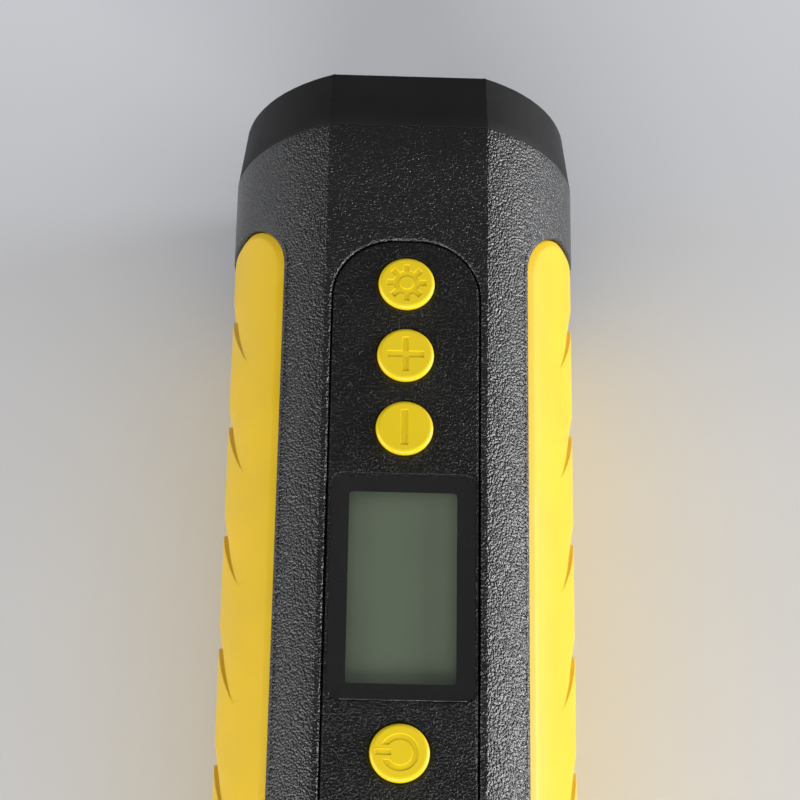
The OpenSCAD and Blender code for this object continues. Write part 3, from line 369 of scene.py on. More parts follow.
def section():
    """The front half of the barrel's section, from the right seam to the left: points (x, h), outward
    directions, and the counts of points on each round side. A round side is a circle of RADIUS in even
    turns, the edge to the flat a circle of flat_edge that touches both, and the flat a straight line."""
    edge = bpy.context.scene.case_sizes.flat_edge
    middle = np.array([math.sqrt((RADIUS - edge) ** 2 - (FLAT - edge) ** 2), FLAT - edge])
    meet = math.atan2(middle[1], middle[0])
    side = np.linspace(0, meet, SIDE_STEPS + 1)
    side = np.stack([np.cos(side), np.sin(side)], 1)
    bend = np.linspace(meet, np.pi / 2, EDGE_STEPS + 1)[1:]
    bend = np.stack([np.cos(bend), np.sin(bend)], 1)
    flat = np.linspace(1, -1, FLAT_STEPS + 1)[1:-1, None] * [middle[0], 0] + [0, FLAT]
    points = np.concatenate([side * RADIUS, middle + bend * edge, flat])
    ways = np.concatenate([side, bend, np.tile([0.0, 1.0], (len(flat), 1))])
    left = slice(SIDE_STEPS + EDGE_STEPS, None, -1)
    points = np.concatenate([points, points[left] * [-1, 1]])
    return points, np.concatenate([ways, ways[left] * [-1, 1]]), middle[0], RADIUS * math.sin(meet)


def side_of_case(top_h, end_y, sign):
    """One round side of the case's front half, with half of the grip's recess: loops that start as the
    recess's floor on the seam, spread to its outline, climb its wall, round its edge and reach the
    case's own rectangle. Seen from the side a point is (y, h); its x follows from its radius by
    Pythagoras."""
    sizes = bpy.context.scene.case_sizes
    corner = bpy.context.scene.grip_sizes.corner
    half_l, half_h = GRIP_HIGH[1], GRIP_HIGH[2] - AXIS
    middles, ways = rounded(half_l, half_h, corner, across=LONG_STEPS,
                            along=2 * SIDE_STEPS - ARC_STEPS, arc=ARC_STEPS)
    count = 2 * SIDE_STEPS + LONG_STEPS + ARC_STEPS + 1
    middles, ways = (np.roll(part, SIDE_STEPS, 0)[:count] for part in (middles, ways))
    low, high = RADIUS - sizes.grip_sink, RADIUS
    edge, gap = sizes.recess_edge, sizes.recess_gap
    turn = np.linspace(0, np.pi / 2, 5)[::-1]
    levels = [(middles * [1, s], low) for s in np.linspace(0, 1, 7)[:-1]]
    levels += [(middles + ways * (corner + gap) * s, low) for s in (0.0, 0.5, 1.0)]
    levels += [(middles + ways * (corner + gap + edge * (1 - math.sin(t))),
                high - edge * (1 - math.cos(t))) for t in turn]
    outline = middles + ways * (corner + gap + edge)
    end_h = RADIUS * np.sin(np.linspace(0, math.asin(top_h / RADIUS), SIDE_STEPS + 1))
    top_y = np.linspace(end_y, -end_y, LONG_STEPS + ARC_STEPS + 1)[1:-1]
    rectangle = np.concatenate([
        np.column_stack([np.full(SIDE_STEPS + 1, end_y), end_h]),
        np.column_stack([top_y, np.full(len(top_y), top_h)]),
        np.column_stack([np.full(SIDE_STEPS + 1, -end_y), end_h[::-1]])])
    levels += [(outline + (rectangle - outline) * s, high) for s in np.linspace(0, 1, 10)[1:]]
    grid = []
    for loop, radius in levels:
        x = np.sqrt(radius ** 2 - loop[:, 1] ** 2)
        grid.append(np.column_stack([sign * x, loop[:, 0], AXIS + loop[:, 1]]))
    return sheet_of(np.stack(grid))


def front_of_case(half_w, end_y):
    """The front flat round the panel's recess: loops that climb the recess's wall, round its edge and
    reach the flat's rectangle, each of whose sides is divided evenly."""
    sizes = bpy.context.scene.case_sizes
    corner = bpy.context.scene.control_sizes.panel_corner
    half, middle = plan_of(PANEL_LOW, PANEL_HIGH)
    steps = {"across": FLAT_STEPS - ARC_STEPS, "along": LONG_STEPS, "arc": ARC_STEPS}
    hole = rounded_loop(half[0] + sizes.recess_gap, half[1] + sizes.recess_gap,
                        corner + sizes.recess_gap, middle, **steps)
    corner_points = np.array([(1, 1), (-1, 1), (-1, -1), (1, -1), (1, 1)]) * [half_w, end_y]
    outer = np.concatenate([
        a + (b - a) * np.linspace(0, 1, n + 1)[:-1, None]
        for a, b, n in zip(corner_points, corner_points[1:],
                           (FLAT_STEPS, LONG_STEPS + ARC_STEPS) * 2)])
    levels = [(hole, PANEL_LOW[2] - AXIS)] + rim(hole, FLAT, sizes.recess_edge, 1, 6)[::-1]
    near = levels[-1][0]
    levels += [(near + (outer - near) * s, FLAT) for s in (0.2, 0.5, 1.0)]
    return band(levels, on_front)


def front_shell():
    """The case's front half: two round sides with their recesses, the flat, its edges, and rounded
    ends. The ends turn in over a quarter circle, and then go straight in to the wall's inside."""
    sizes = bpy.context.scene.case_sizes
    points, ways, half_w, top_h = section()
    end_y = HEAD - sizes.seam_edge
    patches = [side_of_case(top_h, end_y, sign) for sign in (1, -1)]
    side_edge = points[SIDE_STEPS:SIDE_STEPS + EDGE_STEPS + 1]
    y = np.linspace(end_y, -end_y, LONG_STEPS + ARC_STEPS + 1)
    for sign in (1, -1):
        strip = [np.column_stack([np.full(len(y), sign * x), y, np.full(len(y), AXIS + h)])
                 for x, h in side_edge]
        patches.append(sheet_of(np.stack(strip)))
    patches.append(front_of_case(half_w, end_y))
    turn = np.linspace(0, np.pi / 2, 4)
    rows = [(sizes.seam_edge * (1 - math.cos(t)), sizes.seam_edge * math.sin(t)) for t in turn]
    rows.append((CASE_WALL - sizes.seam_edge, sizes.seam_edge))
    for end in (1, -1):
        place = on_end(end)
        loops = [place(points - ways * inset, end_y + out) for inset, out in rows]
        patches.append(sheet_of(np.stack(loops)))
    piece("front_shell_moulding", patches, finishes["housing"],
          replaces=["front_shell"], thickness=sizes.skin)


# ---- Caps


def cap_outline(inset):
    """The barrel's whole section, moved in by inset: the front half's points, and the same turned."""
    points, ways, _, _ = section()
    half = points - ways * inset
    return np.concatenate([half, half[1:-1][::-1] * [1, -1]])


def cap_rows():
    """A hollow cap's outside and inside, as insets of the outline and distances along the barrel. The
    outside starts at the seam over a small quarter circle, draws in evenly and rounds its end over a
    larger one. The inside is the same outline moved in by the wall."""
    sizes = bpy.context.scene.case_sizes
    edge, seam = sizes.end_edge, sizes.seam_edge
    turn = np.linspace(0, np.pi / 2, 4)
    outside = [(seam * (1 - math.sin(t)), HEAD + seam * (1 - math.cos(t))) for t in turn]
    outside += [(CAP_TAPER * s, HEAD + (CAP_END - HEAD - edge) * s) for s in (0.25, 0.5, 0.75)]
    turn = np.linspace(0, np.pi / 2, 7)
    outside += [(CAP_TAPER + edge * (1 - math.cos(t)), CAP_END - edge * (1 - math.sin(t)))
                for t in turn]
    outside += [(CAP_TAPER + edge + 0.05 * MM, CAP_END)]
    return outside, [(seam, HEAD), (CAP_WALL, HEAD), (CAP_WALL, CAP_END - CAP_FLOOR)]


def cap_piece(name, sign, node, mouths, exits, patches):
    """A cap from its rows, with an end face open at the mouths and its wall's inside at the exits."""
    outside, inside = cap_rows()
    place = on_end(sign)
    patches = patches + [
        band([(cap_outline(inset), at) for inset, at in outside], place),
        band([(cap_outline(inset), at) for inset, at in inside], place),
        face([cap_outline(outside[-1][0]), *mouths], CAP_END, place),
        face([cap_outline(CAP_WALL), *exits], CAP_END - CAP_FLOOR, place)]
    piece(name, patches, finishes["cap"], replaces=[node])


def screw_wells():
    """Two counterbores in a cap's end for its screws, as mouths, exits and patches of loops."""
    sizes = bpy.context.scene.end_sizes
    mouths, exits, wells = [], [], []
    clearance, hole_r = 0.2 * MM, 1.3 * MM
    seat = CAP_END - 1.5 * MM
    for side in (-1, 1):
        centre = (side * sizes.screw_x, sizes.screw_h)
        wide = circle_loop(sizes.screw_head + clearance, centre, SCREW_STEPS)
        narrow = circle_loop(hole_r, centre, SCREW_STEPS)
        well = rim(wide, CAP_END, FIT, 1, 3)
        well += [(wide, seat), (narrow, seat), (narrow, CAP_END - CAP_FLOOR)]
        wells.append(well)
        mouths.append(well[0][0])
        exits.append(narrow)
    return mouths, exits, wells


def head_cap():
    """The head's cap: a stepped slot for the lamp's lens, and a round hole for the air outlet."""
    lamp_low, lamp_high = corners("lamp_lens")
    half = (lamp_high - lamp_low) / 2 + FIT
    middle = (0, (lamp_high[2] + lamp_low[2]) / 2 - AXIS)
    shelf, nearly = 1.15 * MM, 0.01 * MM
    slot = rounded_loop(half[0], half[2], half[2] - nearly, middle)
    ledge = rounded_loop(half[0] - shelf, half[2] - shelf, half[2] - shelf - nearly, middle)
    floor = CAP_END - CAP_FLOOR
    seat = lamp_low[1] - FIT
    outlet_hole = circle_loop(6.15 * MM, count=72)
    mouths, exits, wells = screw_wells()
    wells.append(rim(slot, CAP_END, WELL_EDGE, 1, 4) + [(slot, seat), (ledge, seat), (ledge, floor)])
    wells.append(rim(outlet_hole, CAP_END, WELL_EDGE, 1, 4) + [(outlet_hole, floor)])
    mouths += [well[0][0] for well in wells[-2:]]
    exits += [ledge, outlet_hole]
    patches = [band(well, on_end(1)) for well in wells]
    cap_piece("head_cap_moulding", 1, "head_cap", mouths, exits, patches)


def tail_cap():
    """The tail's cap: a shallow pocket for the charging port's cover, with a deeper trough for its
    hinge and a slot through to the socket."""
    low, high = corners("port_cover")
    bottom, top = low[2] - AXIS - FIT, high[2] - AXIS + FIT
    half_w = high[0] + FIT
    pocket = rounded_loop(half_w, (top - bottom) / 2, 1.2 * MM, (0, (top + bottom) / 2))
    trough = rounded_loop(half_w - 0.02 * MM, 1.29 * MM, 0.1 * MM, (0, top - 1.31 * MM))
    socket = rounded_loop(4.65 * MM, 1.75 * MM, 1.74 * MM)
    place = on_end(-1)
    depth, deep, floor = CAP_END - 1.95 * MM, CAP_END - 2.6 * MM, CAP_END - CAP_FLOOR
    mouths, exits, wells = screw_wells()
    wells.append(rim(pocket, CAP_END, WELL_EDGE, 1, 4) + [(pocket, depth)])
    mouths.append(wells[-1][0][0])
    wells.append([(trough, depth), (trough, deep)])
    wells.append([(socket, depth), (socket, floor)])
    exits.append(socket)
    patches = [band(well, place) for well in wells]
    patches += [face([pocket, trough, socket], depth, place), face([trough], deep, place)]
    cap_piece("tail_cap_moulding", -1, "tail_cap", mouths, exits, patches)


# ---- Grips


def area(loop):
    """Twice the area inside a loop, positive where it runs anticlockwise."""
    after = np.roll(loop, -1, 0)
    return float((loop[:, 0] * after[:, 1] - loop[:, 1] * after[:, 0]).sum())


def scallop_rows(half_l, end):
    """The rows of a grip's grid along the barrel, each as its place, its share of the run, its share
    of the depth and its share of the pull. A scallop deepens over ten rows that start at its soft edge
    and end on its sharp one. The wall behind that falls over four, and seven lead to the next."""
    g = bpy.context.scene.grip_sizes
    tips = np.arange(half_l - g.first, -half_l + g.first + g.arc / 2, -g.pitch)
    deepen = np.linspace(1, 0, 10)
    wall = np.array([0.12, 0.22, 0.4, 0.7]) * MM
    between = np.linspace(0, 1, 9)[1:-1]
    at, share = [np.linspace(end, tips[0], 5)[:-1]], [np.linspace(0, 1, 5)[:-1]]
    depth, pull = [np.zeros(4)], [np.zeros(4)]
    for tip in tips:
        at += [np.full(10, tip), tip - wall, tip - wall[-1] - between * (g.pitch - wall[-1])]
        share += [deepen, np.zeros(4), between]
        depth += [1 - deepen, [0.12, 0.03, 0, 0], np.zeros(7)]
        pull += [1 - deepen, np.ones(4), 1 - between]
    rows = [np.concatenate(part)[:-len(between)] for part in (at, share, depth, pull)]
    tail = np.zeros((4, 6))
    tail[0] = np.linspace(rows[0][-1] - 2 * MM, -end, 6)
    return tips[0], np.concatenate([rows, tail], 1)


def grip(name, sign, node):
    """A grip seen from the side, with y along the barrel and h across it. Its face is a cylinder, cut by
    scallops. The sharp edge of each is an arrow with a blunt tip, a branch of a hyperbola, its soft
    edge is another, and rows of the grid follow both. The depth grows evenly from the soft edge to the
    sharp one and fades as the square of h towards its ends. Round the face lies a sloping rim, and
    under it a wall and a back that is a cylinder too."""
    g = bpy.context.scene.grip_sizes
    half_l, half_h = GRIP_HIGH[1], GRIP_HIGH[2] - AXIS
    face_r, back_r = GRIP_HIGH[0], math.hypot(GRIP_LOW[0], half_h)

    def place(points, radius):
        x = np.sqrt(radius ** 2 - points[..., 1] ** 2)
        return np.stack([sign * x, points[..., 0], AXIS + points[..., 1]], -1)

    end, inner_h = half_l - 5 * MM, half_h - 4.2 * MM
    first, (at, share, depth, pull) = scallop_rows(half_l, end)
    flat, blunt = np.linspace(-1, 1, 49), 0.17
    arrow = (np.hypot(flat, blunt) - blunt) / (math.hypot(1, blunt) - blunt)
    drop = g.arc * arrow
    run = g.run + (g.arc - g.spread) * arrow
    ends = np.clip((end - at) / (end - first), 0, 1) * np.clip((at + end) / (at[-7] + end), 0, 1)
    y = at[:, None] + share[:, None] * run - ends[:, None] * drop
    h = flat[None] * g.half * (1 - g.pull * pull[:, None])
    y = np.column_stack([y[:, 0], y, y[:, -1]])
    h = np.column_stack([np.full(len(at), -inner_h), h, np.full(len(at), inner_h)])
    fade = np.concatenate([[0], 1 - flat ** 2, [0]])
    radius = face_r - g.depth * depth[:, None] * fade[None]
    field = np.stack([y, h], -1)
    ring = np.concatenate([field[0, ::-1], field[1:, 0], field[-1, 1:], field[-2:0:-1, -1]])
    ring = ring[::-1] if area(ring) < 0 else ring
    steps = {"across": 60, "along": 14}
    slope = ((g.rim + 0.5 * MM, 0), (g.rim + 0.16 * MM, 0), (g.rim + 0.03 * MM, 0.015 * MM),
             (g.rim - 0.1 * MM, 0.06 * MM), (0.22 * MM, g.rim_drop - 0.04 * MM),
             (0.08 * MM, g.rim_drop + 0.04 * MM), (0, g.rim_drop + 0.2 * MM))
    levels = [(rounded_loop(half_l, half_h, g.corner, grow=-inset, **steps), face_r - fall)
              for inset, fall in slope]
    middles, ways = rounded(half_l, half_h, g.corner, **steps)
    levels += [(middles + ways * g.corner * s, back_r) for s in (1.0, 0.5, 0.0)]
    levels += [(middles * [1, s], back_r) for s in np.linspace(1, 0, 7)[1:]]
    patches = [sheet_of(place(field, radius)), band(levels, place),
               face([levels[0][0], ring], face_r, place)]
    piece(name, patches, finishes["grip"], replaces=[node])


# ---- Control panel, window and buttons


def slab(outline, top, bottom, edge, place, steps=4):
    """A plate: its outline's wall, a quarter circle round its upper edge, and two flat faces."""
    levels = rim(outline, top, edge, -1, steps) + [(outline, bottom)]
    return [band(levels, place), face([levels[0][0]], top, place), face([outline], bottom, place)]


def lens_loop(grow=0.0):
    """The window's outline: a rounded rectangle, grown by a gap where it is a hole."""
    half, middle = plan_of(LENS_LOW, LENS_HIGH)
    return rounded_loop(half[0], half[1], bpy.context.scene.control_sizes.lens_corner, middle, grow)


def button_middle(key):
    """Where a button's middle is along the barrel."""
    low, high = corners(key + "_button")
    return (0, (low[1] + high[1]) / 2)


def control_panel():
    """The panel: a plate with a stepped window and four round holes, all with quarter circles round
    their edges."""
    c = bpy.context.scene.control_sizes
    half, middle = plan_of(PANEL_LOW, PANEL_HIGH)
    under = PANEL_LOW[2] - AXIS
    outline = rounded_loop(half[0], half[1], c.panel_corner, middle, along=40)
    wells = []
    for key in KEYS:
        hole = circle_loop(c.button_r + c.hole_gap, button_middle(key))
        wells.append(rim(hole, FLAT, c.hole_edge, 1, 6) + [(hole, under)])
    # The window's opening narrows to a ledge that carries the lens
    window, mask = lens_loop(FIT), LENS_LOW[2] - AXIS
    half_lens, lens_middle = plan_of(LENS_LOW, LENS_HIGH)
    opening = rounded_loop(half_lens[0] - c.ledge, half_lens[1] - c.ledge, 1.0 * MM, lens_middle)
    step = [(window, mask), (opening, mask), (opening, under)]
    wells.append(rim(window, FLAT, 0.18 * MM, 1, 4) + step)
    edge = rim(outline, FLAT, c.panel_edge, -1, 6) + [(outline, under)]
    patches = [band(edge, on_front), face([edge[0][0]] + [w[0][0] for w in wells], FLAT, on_front),
               face([outline] + [w[-1][0] for w in wells], under, on_front)]
    patches += [band(w, on_front) for w in wells]
    piece("control_panel_moulding", patches, finishes["panel"], replaces=["control_panel"])


def window():
    """The clear window with a quarter circle round its edge, the black border printed on its
    underside, and the display's glass below."""
    c = bpy.context.scene.control_sizes
    ink = 0.12 * MM
    low, high = LENS_LOW[2] - AXIS, LENS_HIGH[2] - AXIS
    piece("window_lens_moulding", slab(lens_loop(), high, low + ink, c.lens_edge, on_front),
          finishes["window"], replaces=["window_lens"])
    outline = lens_loop(-0.05 * MM)
    _, middle = plan_of(LENS_LOW, LENS_HIGH)
    opening = rounded_loop(c.display_w / 2, c.display_l / 2, c.display_corner, middle)
    top, bottom = low + ink - 0.02 * MM, low + 0.02 * MM
    patches = [band([(loop, top), (loop, bottom)], on_front) for loop in (outline, opening)]
    patches += [face([outline, opening], level, on_front) for level in (top, bottom)]
    piece("window_border", patches, finishes["border"])
    half, middle = plan_of(GLASS_LOW, GLASS_HIGH)
    glass = rounded_loop(half[0], half[1], 0.6 * MM, middle)
    patches = slab(glass, GLASS_HIGH[2] - AXIS, GLASS_LOW[2] - AXIS, 0.15 * MM, on_front)
    piece("display_glass", patches, finishes["display"], replaces=["lcd_glass"])


def sun_icon():
    """A sun: eight rays with straight sides out of a circle, and a smaller circle left standing."""
    radius, reach, half = 2.4 * MM, 3.6 * MM, 0.55 * MM
    foot = math.degrees(math.asin(half / radius))
    arc = np.radians(np.linspace(foot, 45 - foot, 5))
    arm = np.concatenate([[(reach, -half), (reach, half)],
                          np.stack([np.cos(arc), np.sin(arc)], 1) * radius])
    turns = np.radians(np.arange(0, 360, 45))
    spin = np.array([[np.cos(turns), np.sin(turns)], [-np.sin(turns), np.cos(turns)]])
    return [(np.einsum("pi,ijk->kpj", arm, spin).reshape(-1, 2), [circle_loop(1.33 * MM, count=40)])]


def cross_loop(half, arm):
    """A plus sign's outline: twelve corners, at half its length and half its arm's width."""
    corner = np.array([(half, -arm), (half, arm), (arm, arm)])
    quarter = np.array([[0, 1], [-1, 0]])
    return np.concatenate([corner @ np.linalg.matrix_power(quarter, k) for k in range(4)])


def bar_loop(half_w, half_l, middle=(0, 0)):
    """A rectangle's outline."""
    return np.array([(1, 1), (-1, 1), (-1, -1), (1, -1)]) * [half_w, half_l] + np.array(middle)


def power_icon():
    """A ring open on one side, between two circles, and a bar through the opening."""
    outer, inner, mouth = 3.25 * MM, 2.25 * MM, 1.3 * MM
    far = math.pi - math.asin(mouth / outer)
    close = math.pi - math.asin(mouth / inner)
    out, back = np.linspace(-far, far, 49), np.linspace(close, -close, 49)
    ring = np.concatenate([np.stack([np.cos(out), np.sin(out)], 1) * outer,
                           np.stack([np.cos(back), np.sin(back)], 1) * inner])
    return [(ring, []), (bar_loop(1.375 * MM, 0.5 * MM, (-2.8 * MM, 0)), [])]


ICONS = {"light": sun_icon, "plus": lambda: [(cross_loop(3.35 * MM, 0.6 * MM), [])],
         "minus": lambda: [(bar_loop(0.65 * MM, 3.4 * MM), [])], "power": power_icon}


def button(key):
    """A button: circles from its face round its edge, down to a flange and a post, with its icon sunk
    into the face. Each icon is a loop, and its islands rise back to the face."""
    c = bpy.context.scene.control_sizes
    low, high = corners(key + "_button")
    middle = np.array(button_middle(key))
    top, foot = high[2] - AXIS, low[2] - AXIS
    cap, flange = circle_loop(c.button_r, middle), circle_loop(high[0], middle)
    post_r, clearance, flange_t = 1.6 * MM, 0.05 * MM, 0.85 * MM
    post = circle_loop(post_r, middle)
    flange_top = PANEL_LOW[2] - AXIS - clearance
    flange_foot = flange_top - flange_t
    edge = rim(cap, top, c.button_edge, -1, 7)
    levels = edge + [(cap, flange_top), (flange, flange_top), (flange, flange_foot),
                     (post, flange_foot), (post, foot)]
    patches = [band(levels, on_front), face([post], foot, on_front)]
    mouths = [edge[0][0]]
    bed = top - c.icon_depth
    fine = 0.1 * MM
    for outline, islands in ICONS[key]():
        well = rim(outline + middle, top, fine, 1, 3) + [(outline + middle, bed)]
        mouths.append(well[0][0])
        patches.append(band(well, on_front))
        patches.append(face([outline + middle] + [i + middle for i in islands], bed, on_front))
        for island in islands:
            rise = rim(island + middle, top, fine, -1, 3) + [(island + middle, bed)]
            patches += [band(rise, on_front), face([rise[0][0]], top, on_front)]
    patches.append(face(mouths, top, on_front))
    piece(key + "_button_cap", patches, finishes["button"], key + "_key", [key + "_button"])


# ---- What shows on the ends and the back


def screw(middle, place, top, head_t, shank_r, length):
    """A pan-head screw: circles round its head and down a shank whose thread is a row of even ridges.
    A cross-shaped pit in the head narrows evenly with its depth."""
    sizes = bpy.context.scene.end_sizes
    middle = np.array(middle)
    head = circle_loop(sizes.screw_head, middle, SCREW_STEPS)
    seat = top - head_t
    pitch, thread = 0.8 * MM, 0.18 * MM
    turns = int(length / pitch)
    levels = rim(head, top, 0.35 * MM, -1, 4) + [(head, seat)]
    levels += [(circle_loop(shank_r - (i % 2) * thread, middle, SCREW_STEPS), seat - i * pitch / 2)
               for i in range(2 * turns)]
    tip = circle_loop(0.3 * MM, middle, SCREW_STEPS)
    levels.append((tip, seat - length))
    pit = cross_loop(1.25 * MM, 0.3 * MM)
    point = cross_loop(0.6 * MM, 0.16 * MM)
    bed = top - 0.9 * MM
    return [band(levels, place), face([tip], seat - length, place),
            face([levels[0][0], pit + middle], top, place),
            band([(pit + middle, top), (point + middle, bed)], place),
            face([point + middle], bed, place)]


def on_back(points, level):
    """Points of the XY plane, at a depth below the axis."""
    return np.column_stack([points, np.full(len(points), AXIS - level)])


def cap_screws():
    """The four screws in the caps' ends."""
    sizes = bpy.context.scene.end_sizes
    patches = []
    for end in (1, -1):
        for side in (1, -1):
            patches += screw((side * sizes.screw_x, sizes.screw_h), on_end(end), CAP_END - 0.2 * MM,
                             1.3 * MM, 1.1 * MM, 17.6 * MM)
    piece("cap_screw_set", patches, finishes["black_screw"], replaces=["cap_screws"])


def shell_screws():
    """The six screws that hold the case's halves together, from behind."""
    sizes = bpy.context.scene.end_sizes
    low, high = corners("shell_screws")
    end = high[1] - sizes.screw_head
    patches = []
    for y in (end, HEAD - 79 * MM, -end):
        for side in (1, -1):
            patches += screw((side * sizes.screw_x, y), on_back, AXIS - low[2], 1.8 * MM,
                             1.25 * MM, 20 * MM)
    piece("shell_screw_set", patches, finishes["black_screw"], replaces=["shell_screws"])


def lamp_lens():
    """The lamp's lens: shrinking loops of one outline, whose outer face rises and falls in upright
    flutes as the size of a sine of x, flat at the edge."""
    sizes = bpy.context.scene.end_sizes
    low, high = corners("lamp_lens")
    half = (high - low) / 2
    flute_depth, sink = 0.35 * MM, 0.05 * MM
    middle = np.array((0, (high[2] + low[2]) / 2 - AXIS))
    middles, ways = rounded(half[0], half[2], sizes.lamp_corner, across=60, along=2)
    outline = middles + ways * sizes.lamp_corner + middle
    place = on_end(1)

    def fluted(points, level):
        made = place(points, level)
        made[:, 1] -= flute_depth * np.abs(np.sin(np.pi * points[:, 0] / sizes.flute))
        return made

    top = high[1]
    inner = [middles + ways * sizes.lamp_corner * s + middle for s in np.linspace(0.82, 0, 7)]
    inner += [middles * [1, s] + middle for s in (0.5, 0.0)]
    patches = [sheet_of(np.stack([fluted(loop, top - sink) for loop in inner]), True),
               band([(inner[0], top), *rim(outline, top, 0.3 * MM, -1, 4), (outline, low[1])], place),
               band([(inner[0], top), (inner[0], top - sink)], fluted_join(place, fluted, top)),
               face([outline], low[1], place)]
    piece("lamp_window_moulding", patches, finishes["lamp_window"],
          replaces=["lamp_lens"])


def fluted_join(place, fluted, top):
    """Places the wall between the flat edge and the flutes: its first loop is flat, its second not."""
    def join(points, level):
        return place(points, level) if level == top else fluted(points, level)
    return join


def outlet():
    """The brass outlet: a turned profile with a chamfered mouth, a rounded lip, a flange and a barb."""
    sizes = bpy.context.scene.end_sizes
    low, high = corners("outlet_fitting")
    end, bore = high[1], sizes.outlet_r
    body, flange, barb, passage, lip = 6 * MM, 7.8 * MM, 1.9 * MM, 1 * MM, 0.5 * MM
    floor, root = end - 9 * MM, end - 11 * MM
    flange_top = CAP_END - CAP_FLOOR
    flange_foot = flange_top - 2.2 * MM
    profile = [(passage, low[1]), (barb - 0.3 * MM, low[1]), (barb, low[1] + 0.6 * MM), (barb, root),
               (body, root), (body, flange_foot), (flange, flange_foot), (flange, flange_top),
               (body, flange_top)]
    turn = np.linspace(0, np.pi / 2, 6)
    profile += [(body - lip * (1 - math.cos(t)), end - lip * (1 - math.sin(t))) for t in turn]
    profile += [(bore + 0.7 * MM, end), (bore, end - 0.6 * MM)]
    grooves = np.arange(end - 1.4 * MM, floor + 1.2 * MM, -0.4 * MM)
    profile += [(bore + (i % 2) * 0.16 * MM, y) for i, y in enumerate(grooves)]
    profile += [(bore, floor), (2.4 * MM, floor), (2.4 * MM, floor - 0.8 * MM),
                (passage, floor - 0.8 * MM), (passage, low[1])]
    piece("outlet_socket", [lathe(profile, (0, 0, AXIS))], finishes["brass"],
          replaces=["outlet_fitting"])


def port_cover():
    """The charging port's rubber cover: a rounded plate with a shallow finger groove along its lower
    edge, and a hinge barrel that is a circle swept along X, bored for its pin."""
    low, high = corners("port_cover")
    pin_r, barrel_r = 0.65 * MM, 1.15 * MM
    pin_h, pin_y = high[2] - AXIS - barrel_r, CAP_END - barrel_r
    bottom, half_w = low[2] - AXIS, high[0]
    top = pin_h - barrel_r * 0.9
    outline = rounded_loop(half_w, (top - bottom) / 2, 1 * MM, (0, (top + bottom) / 2))
    inner = CAP_END - 1.8 * MM
    groove = rounded_loop(half_w - 2.4 * MM, 0.45 * MM, 0.44 * MM, (0, bottom + 1.3 * MM))
    place = on_end(-1)
    edge = rim(outline, CAP_END, 0.4 * MM, -1, 5) + [(outline, inner)]
    well = rim(groove, CAP_END, 0.15 * MM, 1, 3) + [(grown(groove, -0.2 * MM), CAP_END - 0.5 * MM)]
    patches = [band(edge, place), face([edge[0][0], well[0][0]], CAP_END, place), band(well, place),
               face([well[-1][0]], CAP_END - 0.5 * MM, place), face([outline], inner, place)]
    bevel = 0.1 * MM
    profile = [(pin_r, -half_w), (barrel_r - bevel, -half_w), (barrel_r, -half_w + bevel),
               (barrel_r, half_w - bevel), (barrel_r - bevel, half_w), (pin_r, half_w),
               (pin_r, -half_w)]
    patches.append(lathe(profile, (0, -pin_y, AXIS + pin_h), "x", count=40))
    piece("port_cover_moulding", patches, finishes["cover_rubber"], "cover",
          ["port_cover"])


# ---- Finishes


def add(tree, kind, sockets=(), **settings):
    """Adds a node with its settings. Its sockets are set by name, or linked to another node's output."""
    node = tree.nodes.new("ShaderNode" + kind)
    for name, value in settings.items():
        setattr(node, name, value)
    for name, value in dict(sockets).items():
        if isinstance(value, bpy.types.NodeSocket):
            tree.links.new(value, node.inputs[name])
        else:
            node.inputs[name].default_value = value
    return node


def start(name, **sockets):
    """A new material with its node tree, its shader and the object's own coordinates."""
    material = bpy.data.materials.new(name)
    material.use_nodes = True
    tree = material.node_tree
    shader = tree.nodes["Principled BSDF"]
    for socket, value in sockets.items():
        shader.inputs[socket.replace("_", " ")].default_value = value
    return material, tree, shader, add(tree, "TexCoord").outputs["Object"]


def surface(name, base, roughness, grain, depth, gloss=0.2, tone=0.06, patch=14 * MM, **sockets):
    """A surface with a grain in relief, and with gloss and tone that change softly over a patch. The
    grain is noise of the given size and depth."""
    material, tree, shader, where = start(name, **sockets)
    fine = add(tree, "TexNoise", {"Vector": where, "Scale": 1 / grain, "Detail": 2.0, "Roughness": 0.55})
    relief = add(tree, "Bump", {"Height": fine.outputs["Fac"], "Distance": depth})
    slow = add(tree, "TexNoise", {"Vector": where, "Scale": 1 / patch, "Detail": 3.0}).outputs["Fac"]
    shine = add(tree, "MapRange", {"Value": slow, "From Min": 0.3, "From Max": 0.7,
                                   "To Min": roughness * (1 - gloss), "To Max": roughness * (1 + gloss)})
    shade = add(tree, "MapRange", {"Value": slow, "From Min": 0.3, "From Max": 0.7,
                                   "To Min": 1 - tone, "To Max": 1 + tone})
    tint = add(tree, "HueSaturation", {"Color": (*base, 1), "Value": shade.outputs["Result"]})
    tree.links.new(tint.outputs["Color"], shader.inputs["Base Color"])
    tree.links.new(shine.outputs["Result"], shader.inputs["Roughness"])
    tree.links.new(relief.outputs["Normal"], shader.inputs["Normal"])
    return material, tree, shader, where


def eroded_nylon():
    """Glass-filled nylon moulded in a spark-eroded tool: a pebbled black whose tips catch the light. Its
    pebbles are 0.42 mm across, as coarse as such a texture gets."""
    shades = bpy.context.scene.finish_colours
    material, tree, shader, where = surface("Spark-eroded nylon", shades.housing, 0.27, 0.27 * MM,
                                            0.12 * MM, tone=0.12, Specular_IOR_Level=1.0)
    pebble = add(tree, "TexVoronoi", {"Vector": where, "Scale": 1 / (0.42 * MM), "Smoothness": 0.6},
                 feature="SMOOTH_F1")
    grain = tree.nodes["Bump"].outputs["Normal"]
    relief = add(tree, "Bump", {"Height": pebble.outputs["Distance"], "Distance": 0.22 * MM,
                                "Normal": grain}, invert=True)
    tree.links.new(relief.outputs["Normal"], shader.inputs["Normal"])
    return material


